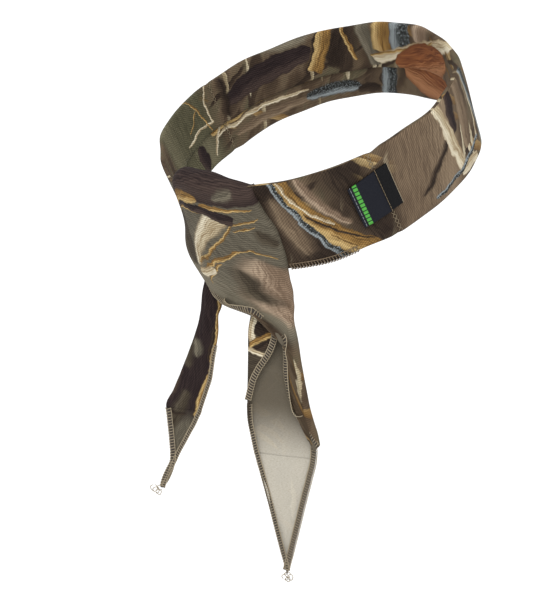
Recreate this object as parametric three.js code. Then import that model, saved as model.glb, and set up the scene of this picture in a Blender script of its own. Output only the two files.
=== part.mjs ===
// Tied cloth headband: a strip folded lengthwise into a flat band, closed by a half knot
// with two pointed tails. Millimetres, +Z up. The origin is the centre of the head opening;
// the knot is on the -Y side and hangs low.
import * as THREE from "three";

// ---- band ----
const BAND_RADIUS = 97;
const BAND_WIDTH = 56;
const RING_TILT = 24.8;
const PLY = 0.9;
const CLEARANCE = 0.3;
const INSERT_THICKNESS = 2.6;
const INSERT_MARGIN = 4;
const INSERT_ROW_GAP = 3;
const FOLD_LAP = 6;
const BAND_START_ANGLE = -65;
const BAND_END_ANGLE = 261;
const BAND_STEPS = 66;
const INSERT_STEPS = 40;
const KNOT_ARC_STEPS = 10;

// ---- threads ----
const THREAD = 0.6;
const RIGHT_ROW_ANGLE = -19.8;
const LEFT_ROW_ANGLE = 180;
const ROW_WIDTH = 2.4;
const ROW_STITCHES = 14;
const BINDING_WIDTH = 3.4;
const EDGE_OVERLOCK_START_ANGLE = -56;
const EDGE_OVERLOCK_END_ANGLE = -34;
const CHAIN_LOOP_RADIUS = 2.1;
const CHAIN_WIRE_RADIUS = 0.45;

// ---- label ----
const LABEL_HEIGHT = 29;
const LABEL_CENTRE_HEIGHT = 3;
const LABEL_FLAP_WIDTH = 17;
const LABEL_TAB_WIDTH = 6;
const LABEL_THICKNESS = 0.6;
const LABEL_STEPS = 6;

// ---- knot ----
// Lists run from the knot's top to its lower edge. Standoffs are measured out from the band's face.
const KNOT_DROP = 21.6;
const WRAP_THICKNESS = 1.8;
const WRAP_LEFT_ANGLES = [-94, -98, -101, -90];
const WRAP_RIGHT_ANGLES = [-57, -57, -58.5, -61];
const WRAP_LEFT_STANDOFFS = [3.5, 4.5, 7.5, 12];
const WRAP_RIGHT_STANDOFFS = [3.5, 4, 5.5, 9.3];
const WRAP_BULGE = 4;
const WRAP_TOP_LEFT_MARGIN = 1;
const WRAP_TOP_RIGHT_MARGIN = 3;
const WRAP_ARCH = 10;
const WRAP_ARCH_LEAN = 0.6;
const WRAP_COLUMNS = 16;
const WRAP_FOLD_ROWS = 7;
const WRAP_FACE_ROWS = 14;
// The share of the wrap's run taken by its top fold, and the strip kept clear either side of the join.
const WRAP_FOLD_SHARE = 0.25;
const WRAP_JOIN_SHARE = 0.0075;
const WRAP_OVERLOCK_ACROSS = [0.04, 0.55];
const WRAP_OVERLOCK_DOWN = [0.945, 0.995];
const BACK_WRAP_HANG = 4;
const BACK_WRAP_BELLY = 2.5;
const CROSSING_LEVELS = [0.89, 0.29, -0.64];
const NECK_LEFT_ANGLES = [-98.6, -98.6, -98.6, -96];
const NECK_RIGHT_ANGLES = [-65.4, -66, -74, -92.6];
const NECK_LEFT_STANDOFFS = [-0.9, -0.9, 1, 10.5];
const NECK_RIGHT_STANDOFFS = [-0.9, -0.9, -0.3, 6.1];

// ---- tails ----
const TAIL_PLANE_AZIMUTH = 35;
const TAIL_FOLDED_THICKNESS = 2.6;
const TAIL_SINGLE_THICKNESS = 1;
const RIGHT_TAIL_SEAT = 0.78;
// Outlines in each tail's own vertical plane: depth below the knot, left edge, right edge.
// Edges are measured along the plane from the middle of the tail's seat under the knot.
const RIGHT_TAIL_UPPER = [
  [0.2, -12, 13],
  [23, -13, 17.5],
  [48, -13, 23],
  [70, -9.5, 27],
  [93, -2, 30],
];
const RIGHT_TAIL_LOWER = [
  [93, -2, 30],
  [117, 2, 25],
  [142, 6.5, 20],
  [168, 10.5, 15],
  [178, 11.6, 13],
];
const LEFT_TAIL_UPPER = [
  [0.4, -4.2, 4.2],
  [10, -5.8, 7],
  [25, -9.8, 6],
  [44, -15.8, 3],
  [62, -22.8, -2],
  [80, -30.8, -8],
];
const LEFT_TAIL_LOWER = [
  [80, -30.8, -8],
  [95, -30, -14],
  [120, -30.3, -25],
  [134, -35.8, -32],
  [141, -38.2, -36.4],
];
// Free edges of the two flaps folded over the front of the right tail: depth, place along the plane.
const RIGHT_FLAP_EDGE = [
  [5, 0],
  [18, 10],
  [46, 10.5],
  [70, 22],
  [88, 28],
];
const LEFT_FLAP_EDGE = [
  [14, 3],
  [24, 1],
  [40, -9],
  [52, -9],
];

const { degToRad, radToDeg, clamp, lerp } = THREE.MathUtils;

// ---- sizes that follow ----
const HALF_WIDTH = BAND_WIDTH / 2;
const OUTER_PLY_BACK = BAND_RADIUS + INSERT_THICKNESS / 2 + CLEARANCE;
const OUTER_FACE = OUTER_PLY_BACK + PLY;
const FOLD_BACK = BAND_RADIUS - INSERT_THICKNESS / 2 - CLEARANCE;
const FOLD_FACE = FOLD_BACK - PLY;
const LAP_BACK = FOLD_FACE - CLEARANCE;
const LAP_FACE = LAP_BACK - PLY;
const LABEL_BACK = OUTER_FACE + CLEARANCE;
const LABEL_FACE = LABEL_BACK + LABEL_THICKNESS;
const LABEL_EDGE = ROW_WIDTH / 2 + THREAD / 2 + CLEARANCE;
const WRAP_BACK_RADIUS = LAP_FACE - CLEARANCE - WRAP_THICKNESS / 2;
const BAND_DEPTH_AT_KNOT =
  BAND_RADIUS * Math.sin(degToRad(RING_TILT)) + HALF_WIDTH * Math.cos(degToRad(RING_TILT));
const KNOT_BOTTOM = -BAND_DEPTH_AT_KNOT - KNOT_DROP;
const TAIL_TOP = KNOT_BOTTOM - CLEARANCE;

// ---- materials ----
function cloth(colour) {
  return new THREE.MeshStandardMaterial({ color: colour, roughness: 0.9, metalness: 0 });
}

const printedTwill = cloth(0x675543);
const hiddenTwill = cloth(0x5d4b3b);
const tailTwill = cloth(0x8a7a62);
const darkTwill = cloth(0x39332f);
const towelling = cloth(0xe4e2d8);
const tanThread = cloth(0xb3a78f);
const navyTaffeta = cloth(0x1e1e23);
const blackTaffeta = cloth(0x0f0f0f);

// ---- places ----
// A point on the tilted ring: angle from +X towards +Y, distance from the ring's axis, height along it.
function onRing(angle, radius, height) {
  const turn = degToRad(angle);
  const point = new THREE.Vector3(radius * Math.cos(turn), radius * Math.sin(turn), height);
  return point.applyAxisAngle(new THREE.Vector3(1, 0, 0), degToRad(RING_TILT));
}

// The height along the ring's axis at which a point of the ring reaches a level in the room.
function ringHeightAt(angle, radius, level) {
  const tilt = degToRad(RING_TILT);
  return (level - radius * Math.sin(degToRad(angle)) * Math.sin(tilt)) / Math.cos(tilt);
}

// A point by a tail's vertical plane: along the plane from its seat, out of its face, and down.
function byTailPlane(seat, reach, out, depth) {
  const azimuth = degToRad(TAIL_PLANE_AZIMUTH);
  return new THREE.Vector3(
    seat.x + reach * Math.cos(azimuth) + out * Math.sin(azimuth),
    seat.y + reach * Math.sin(azimuth) - out * Math.cos(azimuth),
    TAIL_TOP - depth,
  );
}

// A smooth value through evenly spaced stations, for t from 0 to 1.
function smooth(values, t) {
  const curve = new THREE.SplineCurve(values.map((value, i) => new THREE.Vector2(i, value)));
  return curve.getPoint(clamp(t, 0, 1)).y;
}

function evenSteps(count) {
  return Array.from({ length: count + 1 }, (_, i) => i / count);
}

// ---- solids ----
function signedVolume(points, faces) {
  const cross = new THREE.Vector3();
  return faces.reduce((sum, [a, b, c]) => {
    cross.crossVectors(points[b], points[c]);
    return sum + points[a].dot(cross);
  }, 0);
}

// Builds a mesh whose faces all look outwards, whichever way round its loops ran.
function closedMesh(name, points, faces, material) {
  const outward = signedVolume(points, faces) > 0 ? faces : faces.map(([a, b, c]) => [a, c, b]);
  const geometry = new THREE.BufferGeometry().setFromPoints(points);
  geometry.setIndex(outward.flat());
  const solid = geometry.toNonIndexed();
  solid.computeVertexNormals();
  const mesh = new THREE.Mesh(solid, material);
  mesh.name = name;
  return mesh;
}

// Both end caps of a loft, turned to run against the side faces they meet.
function capFaces(cap, lastStart) {
  const runsBack = cap.some((face) => face.some((from, i) => from === 1 && face[(i + 1) % 3] === 0));
  const first = runsBack ? cap : cap.map(([a, b, c]) => [a, c, b]);
  const last = first.map(([a, b, c]) => [c + lastStart, b + lastStart, a + lastStart]);
  return first.concat(last);
}

// Joins equal loops of points into one closed body. The cap lists the triangles that close one loop.
function loft(name, loops, cap, material) {
  const size = loops[0].length;
  const faces = [];
  for (let i = 0; i + 1 < loops.length; i += 1) {
    for (let j = 0; j < size; j += 1) {
      const a = i * size + j;
      const b = i * size + ((j + 1) % size);
      faces.push([a, b, b + size], [a, b + size, a + size]);
    }
  }
  const caps = capFaces(cap, (loops.length - 1) * size);
  return closedMesh(name, loops.flat(), faces.concat(caps), material);
}

// Closes a loop that runs out along one side of a strip and back along the other.
function stripCap(columns) {
  const cap = [];
  for (let i = 0; i < columns; i += 1) {
    const opposite = 2 * columns + 1 - i;
    cap.push([i, i + 1, opposite], [i + 1, opposite - 1, opposite]);
  }
  return cap;
}

// A run of one radial cross-section round part of the ring, its corners given as [radius, height].
function ringRun(name, section, fromAngle, toAngle, steps, material) {
  const outline = section.map(([radius, height]) => new THREE.Vector2(radius, height));
  const loops = evenSteps(steps).map((t) => {
    const angle = lerp(fromAngle, toAngle, t);
    return section.map(([radius, height]) => onRing(angle, radius, height));
  });
  return loft(name, loops, THREE.ShapeUtils.triangulateShape(outline, []), material);
}

function rectangleSection(innerRadius, outerRadius, low, high) {
  return [[innerRadius, low], [outerRadius, low], [outerRadius, high], [innerRadius, high]];
}

// The outward side of a curved surface at one place.
function normalAt(surface, u, v) {
  const step = 1e-3;
  const across = surface(u + step, v).sub(surface(u - step, v));
  const down = surface(u, v + step).sub(surface(u, v - step));
  return across.cross(down).normalize();
}

// A sheet of even thickness about a curved middle surface, cut into columns and given rows.
function sheet(name, surface, columns, rows, thickness, material) {
  const across = evenSteps(columns);
  const loops = rows.map((v) => {
    const middles = across.map((u) => surface(u, v));
    const offsets = across.map((u) => normalAt(surface, u, v).multiplyScalar(thickness / 2));
    const front = middles.map((middle, i) => middle.clone().add(offsets[i]));
    const back = middles.map((middle, i) => middle.clone().sub(offsets[i]));
    return front.concat(back.reverse());
  });
  return loft(name, loops, stripCap(columns), material);
}

// A surface moved off another along its normals.
function offsetSurface(surface, distance) {
  return (u, v) => surface(u, v).add(normalAt(surface, u, v).multiplyScalar(distance));
}

// ---- band pieces ----
function bandRun(name, section) {
  return ringRun(name, section, BAND_START_ANGLE, BAND_END_ANGLE, BAND_STEPS, printedTwill);
}

function bandOuterPanel() {
  const section = [
    [OUTER_PLY_BACK, -HALF_WIDTH],
    [OUTER_FACE, -HALF_WIDTH + PLY],
    [OUTER_FACE, HALF_WIDTH - PLY],
    [OUTER_PLY_BACK, HALF_WIDTH],
  ];
  return bandRun("band_outer_panel", section);
}

function bandInnerUpperFold() {
  const lip = OUTER_PLY_BACK - CLEARANCE;
  const section = [
    [FOLD_FACE, 0],
    [FOLD_BACK, 0],
    [FOLD_BACK, HALF_WIDTH - PLY],
    [lip, HALF_WIDTH - PLY],
    [lip, HALF_WIDTH],
    [FOLD_BACK, HALF_WIDTH],
    [FOLD_FACE, HALF_WIDTH - PLY],
  ];
  return bandRun("band_inner_upper_fold", section);
}

// The lower fold steps inwards at mid height and laps over the upper one.
function bandInnerLowerFold() {
  const lip = OUTER_PLY_BACK - CLEARANCE;
  const section = [
    [LAP_FACE, FOLD_LAP],
    [LAP_BACK, FOLD_LAP],
    [LAP_BACK, -CLEARANCE],
    [FOLD_BACK, -CLEARANCE - PLY],
    [FOLD_BACK, -HALF_WIDTH + PLY],
    [lip, -HALF_WIDTH + PLY],
    [lip, -HALF_WIDTH],
    [FOLD_BACK, -HALF_WIDTH],
    [FOLD_FACE, -HALF_WIDTH + PLY],
    [FOLD_FACE, -CLEARANCE - 2 * PLY],
    [LAP_FACE, -CLEARANCE - PLY],
  ];
  return bandRun("band_inner_lower_fold", section);
}

function coolingInsert() {
  const half = INSERT_THICKNESS / 2;
  const top = HALF_WIDTH - INSERT_MARGIN;
  const section = rectangleSection(BAND_RADIUS - half, BAND_RADIUS + half, -top, top);
  const gap = radToDeg(INSERT_ROW_GAP / BAND_RADIUS);
  const from = RIGHT_ROW_ANGLE + gap;
  return ringRun("cooling_insert", section, from, LEFT_ROW_ANGLE - gap, INSERT_STEPS, towelling);
}

// One thread of a cross-stitch row: a flat zigzag up the band's full width.
function rowThread(name, rowAngle, innerRadius) {
  const swing = radToDeg(ROW_WIDTH / 2 / innerRadius);
  const halfThread = radToDeg(THREAD / 2 / innerRadius);
  const top = HALF_WIDTH - PLY - CLEARANCE;
  const loops = evenSteps(ROW_STITCHES).map((t, i) => {
    const angle = rowAngle + (i % 2 === 0 ? swing : -swing);
    const height = lerp(-top, top, t);
    return [
      onRing(angle - halfThread, innerRadius, height),
      onRing(angle + halfThread, innerRadius, height),
      onRing(angle + halfThread, innerRadius + THREAD, height),
      onRing(angle - halfThread, innerRadius + THREAD, height),
    ];
  });
  return loft(name, loops, stripCap(1), tanThread);
}

function stitchRows() {
  const outside = OUTER_FACE + CLEARANCE;
  const inside = LAP_FACE - CLEARANCE - THREAD;
  return [
    rowThread("right_row_needle_thread", RIGHT_ROW_ANGLE, outside),
    rowThread("right_row_looper_thread", RIGHT_ROW_ANGLE, inside),
    rowThread("left_row_needle_thread", LEFT_ROW_ANGLE, outside),
    rowThread("left_row_looper_thread", LEFT_ROW_ANGLE, inside),
  ];
}

// The strip's serged free edge, turned out along the band's lower edge beside the knot.
function bandEdgeOverlock() {
  const inner = OUTER_FACE + CLEARANCE;
  const low = -HALF_WIDTH + PLY;
  const section = rectangleSection(inner, inner + THREAD, low, low + BINDING_WIDTH);
  const from = EDGE_OVERLOCK_START_ANGLE;
  const to = EDGE_OVERLOCK_END_ANGLE;
  return ringRun("band_edge_overlock", section, from, to, KNOT_ARC_STEPS, tanThread);
}

// ---- label pieces ----
// Each starts beside the stitch row, on the knot's side of it (-1) or the other (1).
function labelPiece(name, side, width, material) {
  const start = RIGHT_ROW_ANGLE + side * radToDeg(LABEL_EDGE / LABEL_BACK);
  const end = start + side * radToDeg(width / LABEL_BACK);
  const low = LABEL_CENTRE_HEIGHT - LABEL_HEIGHT / 2;
  const section = rectangleSection(LABEL_BACK, LABEL_FACE, low, low + LABEL_HEIGHT);
  return ringRun(name, section, start, end, LABEL_STEPS, material);
}

function labelPieces() {
  return [
    labelPiece("label_flap", -1, LABEL_FLAP_WIDTH, navyTaffeta),
    labelPiece("label_tab", 1, LABEL_TAB_WIDTH, blackTaffeta),
  ];
}

// ---- knot pieces ----
function wrapTop(u) {
  const margin = lerp(WRAP_TOP_LEFT_MARGIN, WRAP_TOP_RIGHT_MARGIN, u);
  return HALF_WIDTH - margin + WRAP_ARCH * Math.sin(Math.PI * Math.max(u, 0) ** WRAP_ARCH_LEAN);
}

// The front of the knot, from the foot of its top fold (v = 0) to its level lower edge (v = 1).
function wrapPlace(u, v) {
  const angle = lerp(smooth(WRAP_LEFT_ANGLES, v), smooth(WRAP_RIGHT_ANGLES, v), u);
  const standoff = lerp(smooth(WRAP_LEFT_STANDOFFS, v), smooth(WRAP_RIGHT_STANDOFFS, v), u);
  const radius = OUTER_FACE + standoff + WRAP_BULGE * Math.sin(Math.PI * clamp(u, 0, 1));
  const height = lerp(wrapTop(u), ringHeightAt(angle, radius, KNOT_BOTTOM), v);
  return { angle, radius, height };
}

function wrapFace(u, v) {
  const { angle, radius, height } = wrapPlace(u, v);
  return onRing(angle, radius, height);
}

// The same front with the fold that carries it over the band's upper edge to the back.
function wrapWithFold(u, w) {
  if (w >= WRAP_FOLD_SHARE) return wrapFace(u, (w - WRAP_FOLD_SHARE) / (1 - WRAP_FOLD_SHARE));
  const { angle, radius, height } = wrapPlace(u, 0);
  const turn = Math.PI * (1 - w / WRAP_FOLD_SHARE);
  const foldRadius = (radius - WRAP_BACK_RADIUS) / 2;
  const inset = foldRadius * (1 - Math.cos(turn));
  return onRing(angle, radius - inset, height + foldRadius * Math.sin(turn));
}

function knotFrontWrap() {
  const foldEnd = WRAP_FOLD_SHARE - WRAP_JOIN_SHARE;
  const faceStart = WRAP_FOLD_SHARE + WRAP_JOIN_SHARE;
  const fold = evenSteps(WRAP_FOLD_ROWS).map((t) => lerp(WRAP_JOIN_SHARE, foldEnd, t));
  const face = evenSteps(WRAP_FACE_ROWS).map((t) => lerp(faceStart, 1, t));
  const rows = fold.concat(face);
  return sheet("knot_front_wrap", wrapWithFold, WRAP_COLUMNS, rows, WRAP_THICKNESS, printedTwill);
}

function knotBackWrap() {
  const surface = (u, v) => {
    const angle = lerp(WRAP_LEFT_ANGLES[0], WRAP_RIGHT_ANGLES[0], u);
    const belly = BACK_WRAP_BELLY * Math.sin(Math.PI * u) * Math.sin(Math.PI * v);
    const height = lerp(wrapTop(u) - CLEARANCE, -HALF_WIDTH - BACK_WRAP_HANG, v);
    return onRing(angle, WRAP_BACK_RADIUS - belly, height);
  };
  return sheet("knot_back_wrap", surface, 12, evenSteps(8), WRAP_THICKNESS, printedTwill);
}

// The right band end: it crosses under the front wrap and turns down to the left tail.
function neckFace(u, v) {
  const angle = lerp(smooth(NECK_LEFT_ANGLES, v), smooth(NECK_RIGHT_ANGLES, v), u);
  const standoff = lerp(smooth(NECK_LEFT_STANDOFFS, v), smooth(NECK_RIGHT_STANDOFFS, v), u);
  const radius = OUTER_FACE + standoff;
  const levels = CROSSING_LEVELS.map((level) => level * HALF_WIDTH);
  return onRing(angle, radius, smooth([...levels, ringHeightAt(angle, radius, KNOT_BOTTOM)], v));
}

function knotRightCrossing() {
  return sheet("knot_right_crossing", neckFace, 8, evenSteps(12), WRAP_THICKNESS, hiddenTwill);
}

// The left band end, which crosses behind the right one.
function knotLeftCrossing() {
  const gap = radToDeg(CLEARANCE / BAND_RADIUS);
  const outer = OUTER_FACE + NECK_LEFT_STANDOFFS[0] - WRAP_THICKNESS / 2 - CLEARANCE;
  const inner = WRAP_BACK_RADIUS + WRAP_THICKNESS / 2 + CLEARANCE;
  const top = CROSSING_LEVELS[0] * HALF_WIDTH;
  const section = rectangleSection(inner, outer, -top, top);
  const from = BAND_END_ANGLE - 360 + gap;
  const to = BAND_START_ANGLE - gap;
  return ringRun("knot_left_crossing", section, from, to, KNOT_ARC_STEPS, hiddenTwill);
}

function knotEdgeOverlock() {
  const lifted = offsetSurface(wrapFace, WRAP_THICKNESS / 2 + CLEARANCE + THREAD / 2);
  const surface = (u, v) => lifted(lerp(...WRAP_OVERLOCK_ACROSS, u), lerp(...WRAP_OVERLOCK_DOWN, v));
  return sheet("knot_edge_overlock", surface, 10, evenSteps(2), THREAD, tanThread);
}

// ---- tail pieces ----
function outlineAt(outline, depth) {
  const next = clamp(outline.findIndex((row) => row[0] >= depth), 1, outline.length - 1);
  const [above, below] = [outline[next - 1], outline[next]];
  const t = (depth - above[0]) / (below[0] - above[0]);
  return above.slice(1).map((value, i) => lerp(value, below[i + 1], t));
}

// A flat tail part hanging in its plane. Its top edge is half round about the line it swings on.
function tailPart(name, seat, outline, thickness, material) {
  const half = thickness / 2;
  const top = outline[0][0];
  const roundTop = [0.1, 0.35, 0.65].map((share) => {
    const below = half * share;
    return [top + below, Math.sqrt(half ** 2 - (half - below) ** 2)];
  });
  const foot = outline[outline.length - 1][0] - CLEARANCE;
  const straight = [top + half, ...outline.slice(1, -1).map((row) => row[0]), foot];
  const rows = roundTop.concat(straight.map((depth) => [depth, half]));
  const loops = rows.map(([depth, out]) => {
    const [left, right] = outlineAt(outline, depth);
    return [
      byTailPlane(seat, left, out, depth),
      byTailPlane(seat, right, out, depth),
      byTailPlane(seat, right, -out, depth),
      byTailPlane(seat, left, -out, depth),
    ];
  });
  return loft(name, loops, stripCap(1), material);
}

// A flat band of overlock thread on a tail's face, between two edges given at each depth.
function faceBinding(name, seat, lift, rows) {
  const loops = rows.map(([depth, left, right]) => [
    byTailPlane(seat, left, lift, depth),
    byTailPlane(seat, right, lift, depth),
    byTailPlane(seat, right, lift + THREAD, depth),
    byTailPlane(seat, left, lift + THREAD, depth),
  ]);
  return loft(name, loops, stripCap(1), tanThread);
}

// The overlock along one side of a pointed tail end.
function pointBinding(name, seat, outline, side) {
  const top = outline[0][0] + BINDING_WIDTH;
  const foot = outline[outline.length - 1][0] - BINDING_WIDTH;
  const rows = evenSteps(6).map((t) => {
    const depth = lerp(top, foot, t);
    const [left, right] = outlineAt(outline, depth);
    const width = Math.min(BINDING_WIDTH, (right - left) / 2 - CLEARANCE);
    return side < 0 ? [depth, left, left + width] : [depth, right - width, right];
  });
  return faceBinding(name, seat, TAIL_SINGLE_THICKNESS / 2 + CLEARANCE, rows);
}

// The overlock along the free edge of a flap folded over the front of a tail.
function flapBinding(name, seat, edge, side) {
  const rows = edge.map(([depth, place]) => {
    const far = place - side * BINDING_WIDTH;
    return [depth, Math.min(place, far), Math.max(place, far)];
  });
  return faceBinding(name, seat, TAIL_FOLDED_THICKNESS / 2 + CLEARANCE, rows);
}

// The loose loop of thread chain left hanging from a tail's point.
function threadChain(name, seat, outline) {
  const [tip, left, right] = outline[outline.length - 1];
  const drop = CHAIN_LOOP_RADIUS + CHAIN_WIRE_RADIUS;
  const ring = new THREE.TorusGeometry(CHAIN_LOOP_RADIUS, CHAIN_WIRE_RADIUS, 6, 14);
  ring.rotateX(Math.PI / 2);
  ring.rotateZ(degToRad(TAIL_PLANE_AZIMUTH));
  const centre = byTailPlane(seat, (left + right) / 2, 0, tip + drop);
  ring.translate(centre.x, centre.y, centre.z);
  const mesh = new THREE.Mesh(ring, tanThread);
  mesh.name = name;
  return mesh;
}

function rightTail() {
  const seat = wrapFace(RIGHT_TAIL_SEAT, 1);
  return [
    tailPart("right_tail_upper", seat, RIGHT_TAIL_UPPER, TAIL_FOLDED_THICKNESS, printedTwill),
    tailPart("right_tail_lower", seat, RIGHT_TAIL_LOWER, TAIL_SINGLE_THICKNESS, tailTwill),
    flapBinding("right_tail_right_flap_overlock", seat, RIGHT_FLAP_EDGE, -1),
    flapBinding("right_tail_left_flap_overlock", seat, LEFT_FLAP_EDGE, 1),
    pointBinding("right_point_left_overlock", seat, RIGHT_TAIL_LOWER, -1),
    pointBinding("right_point_right_overlock", seat, RIGHT_TAIL_LOWER, 1),
    threadChain("right_tip_thread_chain", seat, RIGHT_TAIL_LOWER),
  ];
}

function leftTail() {
  const seat = neckFace(0.5, 1);
  return [
    tailPart("left_tail_upper", seat, LEFT_TAIL_UPPER, TAIL_FOLDED_THICKNESS, darkTwill),
    tailPart("left_tail_lower", seat, LEFT_TAIL_LOWER, TAIL_SINGLE_THICKNESS, darkTwill),
    pointBinding("left_point_left_overlock", seat, LEFT_TAIL_LOWER, -1),
    pointBinding("left_point_right_overlock", seat, LEFT_TAIL_LOWER, 1),
    threadChain("left_tip_thread_chain", seat, LEFT_TAIL_LOWER),
  ];
}

// ---- assembly ----
const headband = new THREE.Group();
headband.name = "tied_headband";
headband.add(
  bandOuterPanel(),
  bandInnerUpperFold(),
  bandInnerLowerFold(),
  coolingInsert(),
  ...stitchRows(),
  bandEdgeOverlock(),
  ...labelPieces(),
  knotFrontWrap(),
  knotBackWrap(),
  knotRightCrossing(),
  knotLeftCrossing(),
  knotEdgeOverlock(),
  ...rightTail(),
  ...leftTail(),
);

export default headband;
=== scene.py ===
import math

import bpy
import numpy as np
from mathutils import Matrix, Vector


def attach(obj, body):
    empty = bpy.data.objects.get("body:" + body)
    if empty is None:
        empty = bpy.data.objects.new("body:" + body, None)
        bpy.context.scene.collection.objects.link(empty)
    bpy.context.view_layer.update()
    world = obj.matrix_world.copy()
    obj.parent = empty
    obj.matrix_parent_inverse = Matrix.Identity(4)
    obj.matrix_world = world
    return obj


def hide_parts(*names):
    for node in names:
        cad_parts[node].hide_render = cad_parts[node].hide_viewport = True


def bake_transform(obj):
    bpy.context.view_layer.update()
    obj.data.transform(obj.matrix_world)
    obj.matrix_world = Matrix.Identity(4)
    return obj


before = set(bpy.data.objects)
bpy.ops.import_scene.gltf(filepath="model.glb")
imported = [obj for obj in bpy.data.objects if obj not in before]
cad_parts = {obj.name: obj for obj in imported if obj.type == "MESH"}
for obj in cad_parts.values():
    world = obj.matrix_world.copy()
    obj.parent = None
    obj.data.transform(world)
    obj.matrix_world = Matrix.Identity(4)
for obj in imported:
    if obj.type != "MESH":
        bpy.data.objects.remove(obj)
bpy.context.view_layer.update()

# Lengths are millimetres until a mesh is made; angles on the ring are degrees from +X towards +Y.
MM = 0.001

# ---- band ----
BAND_RADIUS = 97.0
HALF_WIDTH = 28.0
TILT_COS = math.cos(math.radians(24.8))
TILT_SIN = math.sin(math.radians(24.8))
PLY = 0.9
OUTER_FACE = 99.5
RIGHT_ROW_ANGLE = -19.8
LEFT_ROW_ANGLE = 180.0
BAND_START_ANGLE = -65.0
BAND_END_ANGLE = 261.0
BAND_ROWS = 340
BAND_COLUMNS = 60
# The folded strip's section, from its lower free edge round to its upper one:
# distance out from the band's middle radius, height.
PADDED_SECTION = [
    (-2.0, 3.0), (-2.3, -8.0), (-2.1, -20.0), (-1.5, -26.3), (0.2, -28.0), (1.6, -26.6),
    (2.0, -20.0), (2.3, 0.0), (2.0, 20.0), (1.6, 26.6), (0.2, 28.0), (-1.5, 26.3),
    (-2.3, 18.0), (-2.7, 8.0), (-3.3, 2.0), (-3.4, -3.0),
]
FLAT_SECTION = [
    (0.8, 3.0), (0.7, -8.0), (0.6, -20.0), (0.7, -27.0), (1.3, -28.0), (1.9, -27.0),
    (2.0, -20.0), (2.0, 0.0), (2.0, 20.0), (1.9, 27.0), (1.3, 28.0), (0.7, 27.0),
    (0.5, 18.0), (0.2, 8.0), (-0.5, 2.0), (-0.6, -3.0),
]

# ---- knot ----
KNOT_LEVEL = -87.7
FREE_EDGE_LEVEL = -83.5
WRAP_LEFT_ANGLES = [-93.5, -96.2, -99, -90]
WRAP_RIGHT_ANGLES = [-62.5, -59.5, -60.5, -62.5]
WRAP_LEFT_STANDOFFS = [3.5, 4.5, 7.5, 12]
WRAP_RIGHT_STANDOFFS = [3.5, 4, 5.5, 9.3]
WRAP_BULGE = 4.0
WRAP_ARCH = 10.0
WRAP_BACK_RADIUS = 92.1
WRAP_BACK_BOTTOM = -32.0
NECK_LEFT_ANGLES = [-98.6, -98.6, -98.6, -96]
NECK_RIGHT_ANGLES = [-65.4, -66, -74, -92.6]
NECK_LEFT_STANDOFFS = [-0.9, -0.9, 1, 10.5]
NECK_RIGHT_STANDOFFS = [-0.9, -0.9, -0.3, 6.1]
# The right crossing's top and narrowest level, as shares of the band's half width.
CROSSING_TOP = 0.89
CROSSING_BOTTOM = -0.64
LEFT_CROSSING_RADIUS = 94.6

# ---- tails ----
TAIL_TOP = -88.0
TAIL_AZIMUTH = math.radians(35)
RIGHT_SEAT = (43.063, -73.300)
LEFT_SEAT = (-8.076, -77.887)
RIGHT_BEND_DEPTH = 93.0
LEFT_BEND_DEPTH = 80.0
# Outlines by depth below the knot: depth, left edge, right edge, along the tail's plane.
# They began as points on the photographed outlines, turned into millimetres of cloth and rounded.
RIGHT_TAIL = [
    (-10, -12, 8), (0, -12.3, 12.3), (12, -13.2, 15), (28, -13.4, 18), (44, -13.8, 20.6), (58, -14.1, 23),
    (71, -13.8, 26), (83, -11.7, 28.8), (93, -9.6, 28.8), (105, -6.4, 26.4), (121, -2.3, 22.9),
    (134, 0.9, 20.1),
    (147, 4, 17.3), (160, 7.2, 14.5), (170, 9.8, 12.2), (174, 10.5, 11.3),
]
RIGHT_FLAP_EDGE = [
    (-1.5, -10.8), (1.8, -6), (7.4, 0), (11.7, 6), (17.6, 9), (25, 10), (33.7, 10.2), (43.6, 11.5),
    (55.9, 14.5), (66.9, 19.4), (75.9, 24.4), (84, 29),
]
LEFT_FLAP_EDGE = [
    (-10, 4), (0, 5), (14.7, 4.5), (21, 2.7), (27.6, -0.3), (35.6, -5.2), (43.5, -8.9), (54, -11.4),
    (62, -13),
]
LEFT_TAIL = [
    (-10, -4, 4), (0, -6, 6), (7.6, -6.8, 6.5), (14, -7.7, 4.2), (26, -10.8, 3.9), (43, -16.8, 0.9),
    (57, -22.3, -1.3), (68, -27, -4.8), (77, -31.7, -7.8), (84, -31.4, -10.5), (101, -30.2, -18.7),
    (117, -29.9, -26.4), (125, -33.4, -29.4), (131, -36, -32), (138, -37.8, -36),
]


def on_ring(angle, radius, height):
    """The point in the room at an angle, radius and height on the tilted ring."""
    turn = np.radians(angle)
    x = radius * np.cos(turn)
    y = radius * np.sin(turn)
    z = height + 0 * x
    return np.stack([x, y * TILT_COS - z * TILT_SIN, y * TILT_SIN + z * TILT_COS], -1)


def to_ring(point):
    """Angle, radius and height on the ring of a point in the room."""
    x, y, z = np.moveaxis(np.asarray(point, float), -1, 0)
    side = y * TILT_COS + z * TILT_SIN
    height = -y * TILT_SIN + z * TILT_COS
    return np.stack([np.degrees(np.arctan2(side, x)), np.hypot(x, side), height], -1)


def ring_height_at(angle, radius, level):
    """The height on the ring at which a place lies at one level of the room."""
    return (level - radius * np.sin(np.radians(angle)) * TILT_SIN) / TILT_COS


def by_tail(seat, reach, out, depth):
    """A point on a tail: reach along its plane, out from its face, depth below the knot."""
    c, s = math.cos(TAIL_AZIMUTH), math.sin(TAIL_AZIMUTH)
    x = seat[0] + reach * c + out * s
    y = seat[1] + reach * s - out * c
    return np.stack(np.broadcast_arrays(x, y, TAIL_TOP - depth), -1)


def smoothstep(low, high, value):
    t = np.clip((value - low) / (high - low), 0, 1)
    return t * t * (3 - 2 * t)


def lerp(a, b, t):
    return a + (b - a) * t


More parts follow.
